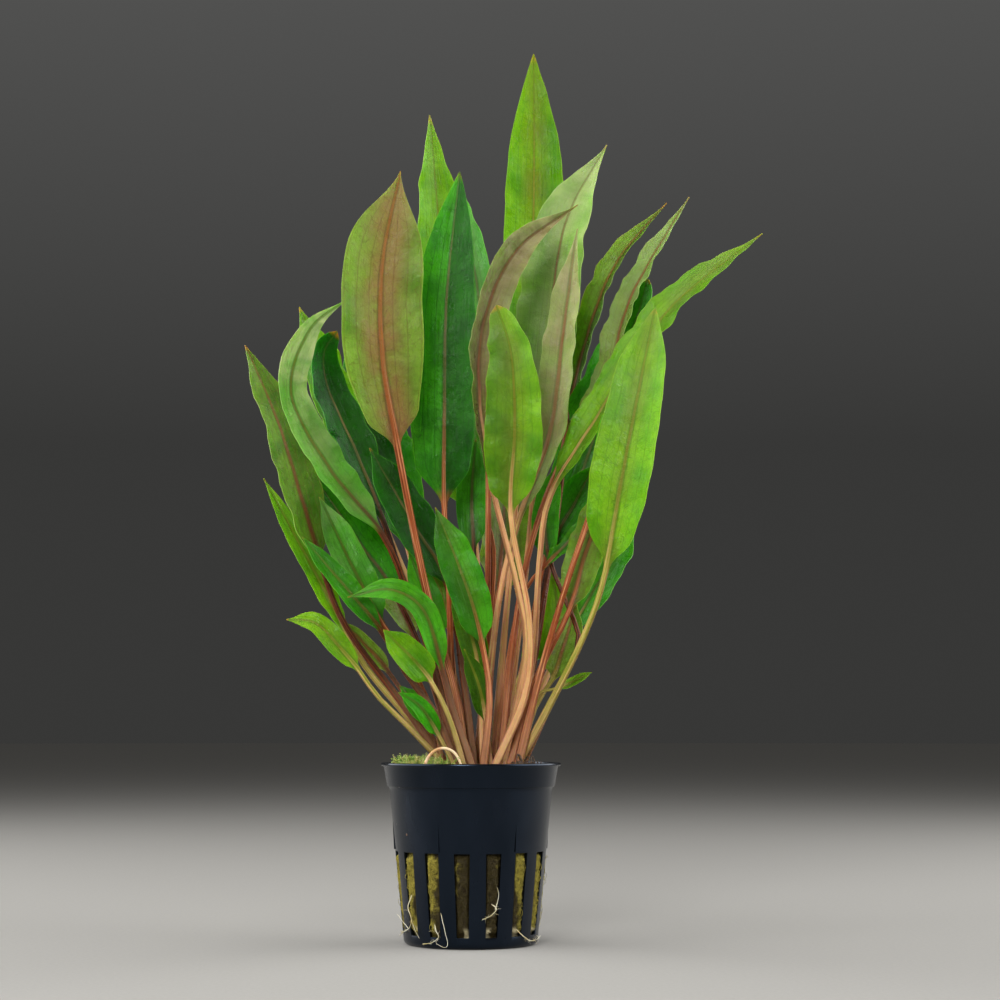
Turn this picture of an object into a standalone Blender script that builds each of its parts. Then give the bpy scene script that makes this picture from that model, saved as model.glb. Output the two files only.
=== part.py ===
"""Potted cryptocoryne: a rosette of stalked leaves in a small slotted pot with a mineral wool plug.

Blender 4.5, metres, +Z up. The origin is the middle of the pot's flat underside, and -Y is the
front. Sizes are written in millimetres and turned to metres by MM.
"""

import math
from dataclasses import dataclass

import bmesh
import bpy
import numpy as np
from mathutils import Vector

MM = 0.001

# Pot
POT_HEIGHT = 50.5
POT_STEPS = 45
LIP_RADIUS = 25.4
LIP_THICKNESS = 0.9
BAND_TOP_RADIUS = 24.6
BAND_FOOT_RADIUS = 23.7
BAND_FOOT_HEIGHT = 43.8
BODY_TOP_RADIUS = 23.0
BODY_FOOT_RADIUS = 18.7
FOOT_ROUNDING = 1.6
WALL = 1.1
FLOOR = 1.6

# Slots in the pot's wall
SLOTS = 15
FIRST_SLOT = 18.0
SLOT_TOP = 26.0
SLOT_FOOT = 3.2
SLOT_TOP_WIDTH = 4.4
SLOT_FOOT_WIDTH = 3.3

# Filling
GAP = 0.4
PLUG_TOP = 47.2
PLUG_STEPS = 30
MOSS_THICKNESS = 6.0
MOSS_RING_RADIUS = 18.1
MOSS_START = 118
MOSS_END = 250

# Roots, as thick as a bristle
ROOT_DIAMETER = 0.9
ARCH_DIAMETER = 1.2
ARCH_START = (-12.6, -18.5)
ARCH_END = (-2.2, -17.6)
ARCH_RISE = 6.2

# Leaves, in a rosette whose middle lies a little left of the pot's axis
ROSETTE_SHIFT = -0.7
CROWN_HEIGHT = 47.8
RINGS = 10
SMALL_RINGS = 8
SMALL_LEAF = 80.0
RING_SPREAD = 1.3
OUTLINE_POWER = 0.42
BLADE_THICKNESS = 0.9
LENS = (0, 0.85, 1, 0.85, 0, -0.85, -1, -0.85)
STALK_DIAMETER = 2.0
TIP_WIDTH = 0.9
CLEARANCE = 0.35
SAMPLE_STEP = 3.0
SAMPLE_REACH = 2.7
SPREAD_ROUNDS = 120

COLOURS = {
    "bright": (0.17, 0.42, 0.02),
    "green": (0.07, 0.22, 0.02),
    "deep": (0.02, 0.09, 0.012),
    "olive": (0.16, 0.19, 0.03),
    "bronze": (0.20, 0.13, 0.04),
    "dull": (0.15, 0.24, 0.09),
}


@dataclass
class Leaf:
    """One leaf: its foot on the crown, the stalk's bends, and the blade from neck to tip.

    The blade is widest at the belly. A small base value makes it round at the neck, and a large
    point value draws its tip out.
    """

    name: str
    foot: tuple
    stalk: tuple
    blade: tuple
    width: float
    faces: float = 0.0
    fold: float = 14.0
    colour: str = "green"
    stalk_diameter: float = STALK_DIAMETER
    belly: float = 0.42
    base: float = 0.9
    point: float = 0.6


LEAVES = (
    Leaf("leaf_tallest", (6.7, 5), ((12, 9, 108),),
         ((16, 13, 154), (18, 17, 186), (19, 21, 222), (19, 22, 262)), 18.5, 10, 10, "bright",
         point=0.4),
    Leaf("leaf_tall_left", (2.2, 5), ((7, 6, 105), (4, 7, 122)),
         ((-2, 8, 142), (-5, 11, 170), (-8.5, 13, 200), (-12, 14, 241)), 16, 22, 10, "bright",
         point=0.45),
    Leaf("leaf_tall_inner", (4.5, 2.5), ((5, 2, 100),),
         ((5, 1, 146), (3, 1, 182), (-3, 1, 218)), 14, -38, 12, "green"),
    Leaf("leaf_deep_green", (-0.5, -2.5), ((-4, -4, 71), (-5, -7, 96)),
         ((-6.5, -9, 122), (-6.5, -14, 146), (-6, -16, 180), (-2.5, -14, 217)),
         18.5, -10, 16, "deep", belly=0.38, base=0.3, point=0.35),
    Leaf("leaf_bronze_curl", (9, -7), ((16, -12, 80), (14, -14, 98)),
         ((7, -17, 126), (3, -21, 150), (4, -21, 172), (13, -18, 193), (31, -12, 208)),
         10.5, 40, 34, "bronze"),
    Leaf("leaf_pale_tall", (9, 0), ((15, 1, 94), (18, 2, 122)),
         ((20, 3, 148), (23, 4, 174), (28, 4, 206), (40, 2, 229)), 19, -24, 16, "dull", point=0.7),
    Leaf("leaf_pink_rib", (4.5, -4.5), ((6, -6, 74), (9, -7, 98)),
         ((14, -8, 118), (23, -10, 142), (27, -11, 172), (31, -8, 202)), 11, -30, 22, "dull"),
    Leaf("leaf_bronze_broad", (-0.5, -7), ((-4, -11, 71), (-11, -18, 96)),
         ((-19, -30, 136), (-23, -37, 160), (-23, -41, 185), (-18, -44, 210)),
         23, 16, 12, "olive", 2.4, 0.5, 0.4, 0.75),
    Leaf("leaf_wavy_front", (6.7, -9.5), ((16, -13, 70), (17, -17, 90)),
         ((12, -22, 118), (13, -28, 142), (12, -33, 162), (8, -35, 175)), 16, -10, 12, "bright",
         point=0.05),
    Leaf("leaf_right_front", (12.6, -4.5), ((24.5, -9, 70), (33, -14.5, 87.5)),
         ((38, -19.5, 103), (42, -26, 126), (47, -28, 152), (52, -24, 176)), 17.5, -20, 14, "bright",
         point=0.3),
    Leaf("leaf_right_hidden", (13.4, -7), ((19, -9, 74), (26.5, -13, 99)),
         ((35, -15, 124), (40, -19, 140), (44.5, -20, 155), (48, -19, 168)), 9, -20, 14, "green"),
    Leaf("leaf_right_long", (11.2, -2), ((18, -7, 79), (20, -10, 107)),
         ((23, -12, 125), (35, -14, 145), (56, -12, 177), (84, -6, 201)), 11.5, -40, 22, "bright"),
    Leaf("leaf_olive_right", (11.2, 2.5), ((19, 6, 94), (24, 8, 118)),
         ((28, 10, 145), (34, 12, 172), (43, 14, 196), (58, 12, 214)), 8.5, -40, 34, "olive"),
    Leaf("leaf_tan_right", (9, -4.5), ((13, -5, 87), (18, -4, 113)),
         ((26, -3, 135), (39, -1, 157), (47, 2, 184), (64, 4, 214)), 8.5, -42, 30, "olive"),
    Leaf("leaf_dark_right", (13.5, 0), ((20, 4, 91), (25, 5, 119)),
         ((29, 6, 145), (39, 8, 160), (47, 7, 174), (52, 5, 190)), 14.5, -34, 14, "deep",
         belly=0.5, point=0.2),
    Leaf("leaf_left_arch", (-2.8, -4.5), ((-10, -9, 78), (-17, -13, 98)),
         ((-24, -15, 114), (-38, -20, 131), (-49, -23, 152), (-44.5, -21, 170), (-34, -17, 180)),
         10.5, 32, 20, "green", belly=0.32),
    Leaf("leaf_left_olive", (-5, -2.5), ((-17, -6, 65), (-34, -9, 88)),
         ((-41, -10, 105), (-47, -10, 124), (-54, -8, 146), (-64, -4, 169)), 13.5, 38, 16, "olive",
         point=0.5),
    Leaf("leaf_left_hook", (-2.8, 0), ((-11, 0, 82), (-19, 0, 103)),
         ((-24, 0, 118), (-33, 3, 140), (-41, 5, 158), (-42, 3, 168), (-38, 1, 174)),
         13, 34, 16, "deep", belly=0.5, base=0.6, point=0.1),
    Leaf("leaf_left_back", (-0.5, 2.5), ((-9, 5, 82), (-20, 8, 108)),
         ((-30, 10, 132), (-41, 13, 158), (-50, 12, 183)), 16, 36, 12, "bright"),
    Leaf("leaf_left_shade", (1.8, 0), ((-6, 1, 79), (-11, 2, 96)),
         ((-16, 3, 112), (-25, 6, 134), (-32, 6, 153)), 13, 28, 12, "deep"),
    Leaf("leaf_dark_slant", (1.8, -4.5), ((-1, -6, 71),),
         ((-6, -8, 100), (-16, -9, 118), (-28, -8, 139)), 14, 28, 12, "deep"),
    Leaf("leaf_mid_front", (4, -9.5), ((6, -13, 68),),
         ((4, -15, 83), (0, -19, 98), (-9, -20, 121)), 11, 5, 12, "green"),
    Leaf("leaf_left_low", (-5, 0), ((-16, -3, 62), (-28, -4, 76)),
         ((-34, -5, 86), (-43, -5, 103), (-58.5, -2, 131)), 6.5, 25, 14, "bright"),
    Leaf("leaf_left_small", (-2.8, -7), ((-9, -11, 64), (-17, -13, 75)),
         ((-24, -16, 87), (-34, -18, 99), (-46, -18, 113)), 6.5, 18, 14, "green"),
    Leaf("leaf_left_dark", (-2.8, 2.5), ((-12, 3, 78),),
         ((-21, 4, 98), (-33, 6, 115), (-46, 5, 134)), 15, 36, 14, "deep"),
    Leaf("leaf_left_pale_edge", (-2.8, -2.2), ((-16, -5, 77),),
         ((-24, -7, 89), (-33, -8, 106), (-42, -7, 125)), 10, 20, 14, "green"),
    Leaf("leaf_bent_over", (1.8, -9.5), ((-4, -14, 65),),
         ((-7, -17, 76), (-12, -20, 92), (-21, -22, 98), (-33, -22, 96)), 7, 5, 16, "green"),
    Leaf("leaf_left_lowest", (-4.5, -6), ((-16, -12, 60), (-25, -15, 69)),
         ((-30, -17, 76), (-36, -18, 83), (-42, -19, 89), (-50, -19, 90)), 6.5, 15, 14, "bright", 1.6),
    Leaf("leaf_left_thin", (-5, 4.5), ((-12, 6, 60),),
         ((-23, 8, 76), (-30, 8, 84), (-37, 8, 91)), 5, 20, 12, "olive", 1.5),
    Leaf("leaf_short_front", (-0.5, -9.5), ((-5, -15, 63),),
         ((-10, -19, 73), (-15, -23, 79), (-23, -25, 87)), 9, 5, 12, "bright", 1.6),
    Leaf("leaf_tiny_front", (-2.8, -9.5), (),
         ((-8, -13, 58), (-13, -18, 66), (-19, -20, 70)), 5, 0, 12, "green", 1.4),
    Leaf("leaf_right_dark", (11.2, 5), ((19, 7, 85),),
         ((24, 9, 112), (30, 10, 124), (37, 10, 137)), 11, -20, 12, "deep"),
    Leaf("leaf_right_edge", (6.7, -2), ((13, -3, 90), (18, -3, 102)),
         ((21.7, -3, 106), (29.5, -2, 114), (33.5, -1, 121)), 3.6, -18, 30, "deep", 1.3),
    Leaf("leaf_right_bent", (14.4, -2.5), ((24, -5, 69), (31, -4, 84), (28, -1, 95)),
         ((23, 1, 108), (22, 2, 120), (25, 2, 135)), 8, -10, 12, "deep", 1.6),
    Leaf("leaf_right_olive", (11.2, -7), ((20.5, -9, 75),),
         ((29, -10, 93), (33, -9.5, 108), (38, -9, 123), (41, -7, 135)), 11, -20, 12, "olive"),
    Leaf("leaf_yellow_tip", (9, 5), ((17, 9, 66),),
         ((22, 13, 77), (26, 16, 92), (23.5, 16, 107)), 10, -8, 12, "bright", 1.6),
    Leaf("leaf_yellow_low", (13.5, 2.5), ((19, 6, 66),),
         ((24, 9, 74), (27.5, 10, 84), (31, 10, 96)), 10, -18, 12, "olive", 1.6),
    Leaf("leaf_small_right", (6.7, 7.5), ((11, 10, 65),),
         ((16, 14, 78), (21, 16, 85), (26, 16, 90)), 6, -10, 12, "green", 1.6),
    Leaf("leaf_thin_right", (15.9, 1.8), ((16, 3, 64), (20, 3, 70)),
         ((25.5, 3, 71.5), (30, 3, 73.5), (35, 2, 76)), 2.6, -10, 10, "bright", 1.0),
    Leaf("leaf_inner_olive", (4.5, 0), ((4, 1, 85),),
         ((2, 2, 111), (1, 3, 126), (2, 3, 143)), 9, -5, 12, "deep", 1.6),
    Leaf("leaf_inner_left", (1.8, -2.2), ((-4, -3, 71),),
         ((-8, -4, 85), (-12, -4, 97), (-17, -3, 110)), 8, 10, 12, "green", 1.6),
    Leaf("leaf_inner_bright", (-0.5, 0), ((-3, 0, 71),),
         ((-5, 0, 88), (-8, 0, 99), (-14, 1, 111)), 7, 8, 12, "bright", 1.6),
    Leaf("leaf_inner_front", (4.2, -7), (),
         ((3, -9, 75), (0, -11, 89), (-4, -12, 101)), 8, 0, 12, "bright", 1.6),
    Leaf("leaf_low_dark", (-7, -4.4), (),
         ((-9, -8, 60), (-14, -10, 66), (-19, -11, 72)), 6, 10, 12, "deep", 1.4),
    Leaf("leaf_inner_low", (6.5, -7), (),
         ((5, -10, 62), (3, -14, 72), (-1, -16, 82)), 6, 0, 12, "bright", 1.4),
    Leaf("leaf_back_left", (-2.8, 5), ((-11, 12, 85),),
         ((-18, 20, 112), (-27, 28, 145), (-38, 34, 178)), 19, 26, 12, "green"),
    Leaf("leaf_back_centre", (4.5, 7.5), ((3, 16, 95),),
         ((1, 24, 122), (-3, 32, 152), (-6, 36, 190)), 20, -14, 12, "bright"),
    Leaf("leaf_back_right", (9, 7.5), ((18, 17, 88),),
         ((26, 24, 115), (37, 32, 146), (46, 36, 178)), 19, -28, 12, "green"),
    Leaf("leaf_back_low_left", (-0.5, 7.5), ((-9, 15, 72),),
         ((-16, 22, 86), (-26, 31, 106), (-38, 37, 124)), 14, 34, 12, "olive"),
    Leaf("leaf_back_low_right", (11.2, 7.5), ((22, 16, 74),),
         ((29, 23, 87), (39, 31, 104), (50, 36, 121)), 14, -36, 12, "green"),
    Leaf("leaf_back_bronze", (2.2, 9.5), ((5, 20, 78),),
         ((8, 28, 98), (10, 38, 124), (11, 44, 152)), 16, 24, 14, "bronze"),
)

# Roots out of the slots: (degrees right of the front, height, distance out from the wall)
ROOTS = {
    "root_left": ((-54.5, 14.5, -0.4), (-55.5, 11, 1.0), (-52.5, 8, 0.9), (-56.5, 5.4, 0.9),
                  (-68.5, 4, 0.9), (-82.5, 2.4, 1.0)),
    "root_front_left": ((-30.5, 7.0, -0.4), (-27.5, 5.2, 0.9), (-25.5, 3.4, 0.9), (-32.5, 1.8, 0.9),
                        (-40.5, 1.5, 1.1)),
    "root_front_right": ((17.5, 12.5, -0.4), (20.5, 11.2, 0.9), (16.5, 9.4, 0.9), (9.5, 8.2, 1.0)),
    "root_right": ((41.5, 5.4, -0.4), (45.5, 3.6, 0.9), (55.5, 2.0, 0.9), (67.5, 1.8, 0.9),
                   (77.5, 2.6, 1.0)),
}


def clear_scene():
    """Removes whatever the file holds."""
    for thing in list(bpy.data.objects):
        bpy.data.objects.remove(thing, do_unlink=True)


def collection(name):
    """A new collection in the scene."""
    group = bpy.data.collections.new(name)
    bpy.context.scene.collection.children.link(group)
    return group


def material(name, colour, roughness=0.5):
    """A plain Principled BSDF material."""
    finish = bpy.data.materials.new(name)
    finish.use_nodes = True
    shader = finish.node_tree.nodes["Principled BSDF"]
    shader.inputs["Base Color"].default_value = (*colour, 1.0)
    shader.inputs["Roughness"].default_value = roughness
    shader.inputs["Metallic"].default_value = 0.0
    return finish


def mesh_object(name, mesh, group, finish=None):
    """A new object from a mesh, in a collection."""
    thing = bpy.data.objects.new(name, mesh)
    group.objects.link(thing)
    if finish:
        mesh.materials.append(finish)
    return thing


def turned(name, profile, steps, group, finish):
    """A profile of (radius, height) in mm, from axis to axis, turned about Z."""
    mesh = bpy.data.meshes.new(name)
    corners = [(radius * MM, 0.0, height * MM) for radius, height in profile]
    mesh.from_pydata(corners, [(i, i + 1) for i in range(len(corners) - 1)], [])
    thing = mesh_object(name, mesh, group, finish)
    screw = thing.modifiers.new("turn", "SCREW")
    screw.axis = "Z"
    screw.angle = math.tau
    screw.steps = steps
    screw.render_steps = steps
    screw.use_merge_vertices = True
    screw.merge_threshold = 0.00005
    screw.use_smooth_shade = True
    return thing


def body_radius(height):
    """Outer radius of the pot's tapering body at a height."""
    share = height / BAND_FOOT_HEIGHT
    return BODY_FOOT_RADIUS + (BODY_TOP_RADIUS - BODY_FOOT_RADIUS) * share


def slot_cutters(group):
    """Fifteen upright wedges, narrower at the foot, joined in one cutter."""
    depth = 6.0
    shape = bmesh.new()
    for index in range(SLOTS):
        angle = math.radians(FIRST_SLOT + index * 360 / SLOTS)
        outward = Vector((math.sin(angle), -math.cos(angle), 0))
        sideways = Vector((math.cos(angle), math.sin(angle), 0))
        for corner in bmesh.ops.create_cube(shape, size=2.0)["verts"]:
            side, inward, up = corner.co
            height = SLOT_TOP if up > 0 else SLOT_FOOT
            half_width = (SLOT_TOP_WIDTH if up > 0 else SLOT_FOOT_WIDTH) / 2
            place = outward * (body_radius(height) - inward * depth / 2) + sideways * side * half_width
            corner.co = (place + Vector((0, 0, height))) * MM
    bmesh.ops.recalc_face_normals(shape, faces=shape.faces)
    mesh = bpy.data.meshes.new("slot_cutters")
    shape.to_mesh(mesh)
    shape.free()
    cutter = mesh_object("slot_cutters", mesh, group)
    cutter.hide_render = True
    cutter.display_type = "WIRE"
    return cutter


def make_pot(group, cutters):
    """The moulded pot: lip, rim band, step, tapering slotted wall and flat floor."""
    lip_foot = POT_HEIGHT - LIP_THICKNESS
    profile = [
        (0, FLOOR),
        (BODY_FOOT_RADIUS - WALL, FLOOR),
        (BODY_TOP_RADIUS - WALL, BAND_FOOT_HEIGHT - WALL),
        (BAND_FOOT_RADIUS - WALL, BAND_FOOT_HEIGHT),
        (BAND_TOP_RADIUS - WALL, POT_HEIGHT),
        (LIP_RADIUS, POT_HEIGHT),
        (LIP_RADIUS, lip_foot),
        (BAND_TOP_RADIUS, lip_foot),
        (BAND_FOOT_RADIUS, BAND_FOOT_HEIGHT),
        (BODY_TOP_RADIUS, BAND_FOOT_HEIGHT - 0.5),
        (body_radius(FOOT_ROUNDING), FOOT_ROUNDING),
        (BODY_FOOT_RADIUS - FOOT_ROUNDING * 0.3, FOOT_ROUNDING * 0.3),
        (BODY_FOOT_RADIUS - FOOT_ROUNDING, 0),
        (0, 0),
    ]
    pot = turned("pot", profile, POT_STEPS, group, material("pot_plastic", (0.012, 0.015, 0.021), 0.38))
    cut = pot.modifiers.new("slots", "BOOLEAN")
    cut.operation = "DIFFERENCE"
    cut.solver = "EXACT"
    cut.object = slot_cutters(cutters)


def make_plug(group):
    """The mineral wool plug: fills the pot and ends just below its rim."""
    reach = WALL + GAP
    profile = [
        (0, PLUG_TOP),
        (14, PLUG_TOP - 0.3),
        (BODY_TOP_RADIUS - reach - 1.2, PLUG_TOP - 0.2),
        (BODY_TOP_RADIUS - reach, BAND_FOOT_HEIGHT - 2),
        (body_radius(SLOT_TOP) - reach, SLOT_TOP),
        (body_radius(FLOOR) - reach - 0.4, FLOOR + 2.2),
        (body_radius(FLOOR) - reach - 1.6, FLOOR + GAP),
        (0, FLOOR + GAP),
    ]
    turned("wool_plug", profile, PLUG_STEPS, group, material("mineral_wool", (0.20, 0.17, 0.04), 0.95))


def tube(name, points, diameter, group, finish):
    """A round rod with closed ends through points in mm."""
    curve = bpy.data.curves.new(name, "CURVE")
    curve.dimensions = "3D"
    curve.bevel_depth = diameter / 2 * MM
    curve.bevel_resolution = 1
    curve.use_fill_caps = True
    spline = curve.splines.new("POLY")
    spline.points.add(len(points) - 1)
    for knot, place in zip(spline.points, points):
        knot.co = (*(c * MM for c in place), 1.0)
    curve.materials.append(finish)
    group.objects.link(bpy.data.objects.new(name, curve))


def make_moss(group):
    """A fat strand of moss along the left of the rim."""
    points = []
    for step in range(11):
        angle = math.radians(MOSS_START + (MOSS_END - MOSS_START) * step / 10)
        lift = PLUG_TOP + 0.35 + MOSS_THICKNESS / 2 + 0.25 * math.sin(step * 1.7)
        points.append((MOSS_RING_RADIUS * math.cos(angle), MOSS_RING_RADIUS * math.sin(angle), lift))
    tube("moss", points, MOSS_THICKNESS - 0.3, group, material("moss", (0.06, 0.12, 0.01), 0.95))


def make_roots(group):
    """The root that arches over the moss, and those that come out of the slots."""
    finish = material("root", (0.62, 0.50, 0.33), 0.55)
    start, end = Vector(ARCH_START), Vector(ARCH_END)
    arch = []
    for step in range(9):
        share = step / 8
        flat = start.lerp(end, (1 - math.cos(share * math.pi)) / 2)
        arch.append((flat.x, flat.y, PLUG_TOP + 1.3 + ARCH_RISE * math.sin(share * math.pi)))
    tube("arched_root", arch, ARCH_DIAMETER, group, finish)
    for name, route in ROOTS.items():
        places = []
        for degrees, height, out in route:
            angle = math.radians(degrees)
            radius = body_radius(height) + out
            places.append((radius * math.sin(angle), -radius * math.cos(angle), height))
        tube(name, smooth_path(places, 2 * len(places) - 1), ROOT_DIAMETER, group, finish)


def smooth_path(points, count, shares=None):
    """Evenly spaced points on a smooth curve through the given ones."""
    knots = [np.array(p, float) for p in points]
    knots = [2 * knots[0] - knots[1], *knots, 2 * knots[-1] - knots[-2]]
    fine = []
    for i in range(1, len(knots) - 2):
        before, here, there, after = knots[i - 1:i + 3]
        for t in np.linspace(0, 1, 16, endpoint=False):
            fine.append(0.5 * (2 * here + (there - before) * t
                               + (2 * before - 5 * here + 4 * there - after) * t ** 2
                               + (3 * here - before - 3 * there + after) * t ** 3))
    fine.append(knots[-2])
    fine = np.array(fine)
    run = np.concatenate([[0], np.cumsum(np.linalg.norm(np.diff(fine, axis=0), axis=1))])
    wanted = (np.linspace(0, 1, count) if shares is None else np.array(shares)) * run[-1]
    return np.stack([np.interp(wanted, run, fine[:, axis]) for axis in range(3)], axis=1)


def path_length(points):
    """Length of the smooth curve through the points."""
    fine = smooth_path(points, 60)
    return float(np.linalg.norm(np.diff(fine, axis=0), axis=1).sum())


def blade_outline(share, leaf):
    """Half width from neck (0) to tip (1), as a share of the widest, which is at the belly."""
    share = min(max(share, 0.0), 1.0)
    bend = math.log(0.5) / math.log(leaf.belly)
    early = max(1 - share / 0.25, 0.0)
    late = max((share - 0.7) / 0.3, 0.0)
    power = OUTLINE_POWER + (leaf.base - OUTLINE_POWER) * early * early * (3 - 2 * early)
    power += leaf.point * late * late * (3 - 2 * late)
    return max(math.sin(math.pi * share ** bend), 0.0) ** power


class LeafForm:
    """The rings of one leaf: a round stalk that flattens into a folded blade."""

    def __init__(self, leaf):
        self.leaf = leaf
        places = [(*leaf.foot, CROWN_HEIGHT), *leaf.stalk, *leaf.blade]
        route = [(x + ROSETTE_SHIFT, y, z) for x, y, z in places]
        whole = path_length(route)
        stalk_share = path_length(route[:len(leaf.stalk) + 2]) / whole
        rings = SMALL_RINGS if whole < SMALL_LEAF else RINGS
        stalk_rings = rings // 3
        stalk_shares = np.linspace(0, stalk_share, stalk_rings, endpoint=False)
        along_blade = np.linspace(0, 1, rings - stalk_rings) ** RING_SPREAD
        blade_shares = stalk_share + (1 - stalk_share) * along_blade
        self.shares = np.concatenate([stalk_shares, blade_shares])
        self.blade_share = np.clip((self.shares - stalk_share) / (1 - stalk_share), -1, 1)
        self.centres = smooth_path(route, 0, self.shares)
        self.frames = self.make_frames()

    def make_frames(self):
        """Sideways and facing directions at each ring."""
        turn = math.radians(self.leaf.faces)
        facing = np.array([math.sin(turn), -math.cos(turn), 0.25])
        along = np.gradient(self.centres, axis=0)
        frames = []
        for direction in along:
            direction = direction / np.linalg.norm(direction)
            face = facing - direction * facing.dot(direction)
            face = face / np.linalg.norm(face)
            frames.append((np.cross(direction, face), face))
        return frames

    def half_width(self, index):
        """Half width of the ring."""
        radius = self.leaf.stalk_diameter / 2
        share = self.blade_share[index]
        if share <= 0:
            return radius
        if share >= 1:
            return TIP_WIDTH / 2
        return max(radius, self.leaf.width / 2 * blade_outline(share, self.leaf))

    def section(self, index):
        """Eight (sideways, facing) offsets around the ring, in mm."""
        half = self.half_width(index)
        flat = min(max(self.blade_share[index] * 8, 0.0), 1.0)
        fold = math.tan(math.radians(self.leaf.fold)) * flat
        offsets = []
        for step, lens in enumerate(LENS):
            angle = step * math.tau / len(LENS)
            sideways = half * math.cos(angle)
            round_rise = self.leaf.stalk_diameter / 2 * math.sin(angle)
            lens_rise = BLADE_THICKNESS / 2 * lens
            rise = round_rise * (1 - flat) + lens_rise * flat
            offsets.append((sideways, rise + fold * abs(sideways)))
        return offsets

    def ring(self, index):
        """The ring's eight corners."""
        sideways, face = self.frames[index]
        return [self.centres[index] + sideways * a + face * b for a, b in self.section(index)]

    def samples(self):
        """Points spread over the leaf: ring index, share to the next ring, offset, half thickness."""
        rows = []
        for index in range(len(self.centres) - 1):
            length = np.linalg.norm(self.centres[index + 1] - self.centres[index])
            steps = max(1, int(length / SAMPLE_STEP))
            low, high = self.ring(index), self.ring(index + 1)
            on_blade = self.blade_share[index + 1] > 0.02
            columns = (4, 3.5, 3, 2.5, 2, 1.5, 1, 0.5, 0) if on_blade else (2,)
            for step in range(steps):
                share = (step + 0.5) / steps
                for column in columns:
                    point = (1 - share) * across(low, column) + share * across(high, column)
                    thick = BLADE_THICKNESS / 2 if on_blade else self.leaf.stalk_diameter / 2
                    rows.append((index, share, point, thick, on_blade))
        return rows


def across(ring, column):
    """Point on the middle surface of a ring, from one edge (0) to the other (4)."""
    middle = [ring[0], (ring[1] + ring[7]) / 2, (ring[2] + ring[6]) / 2, (ring[3] + ring[5]) / 2, ring[4]]
    low = int(min(column, 3))
    return middle[low] + (middle[low + 1] - middle[low]) * (column - low)


def loft(form, group, finish):
    """Skins the rings of a leaf and closes both ends."""
    count = len(form.centres)
    corners = [corner * MM for index in range(count) for corner in form.ring(index)]
    faces = [tuple(range(7, -1, -1)), tuple(range(8 * count - 8, 8 * count))]
    for index in range(count - 1):
        for side in range(8):
            a, b = 8 * index + side, 8 * index + (side + 1) % 8
            faces.append((a, b, b + 8, a + 8))
    mesh = bpy.data.meshes.new(form.leaf.name)
    mesh.from_pydata([tuple(c) for c in corners], [], faces)
    shape = bmesh.new()
    shape.from_mesh(mesh)
    bmesh.ops.recalc_face_normals(shape, faces=shape.faces)
    shape.to_mesh(mesh)
    shape.free()
    mesh.shade_smooth()
    return mesh_object(form.leaf.name, mesh, group, finish)


def make_leaves(group):
    """All leaves, spread apart so that each clears its neighbours."""
    finishes = {name: material("leaf_" + name, colour, 0.4) for name, colour in COLOURS.items()}
    forms = [LeafForm(leaf) for leaf in LEAVES]
    Crowd(forms).spread()
    for form in forms:
        loft(form, group, finishes[form.leaf.colour])


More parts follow.
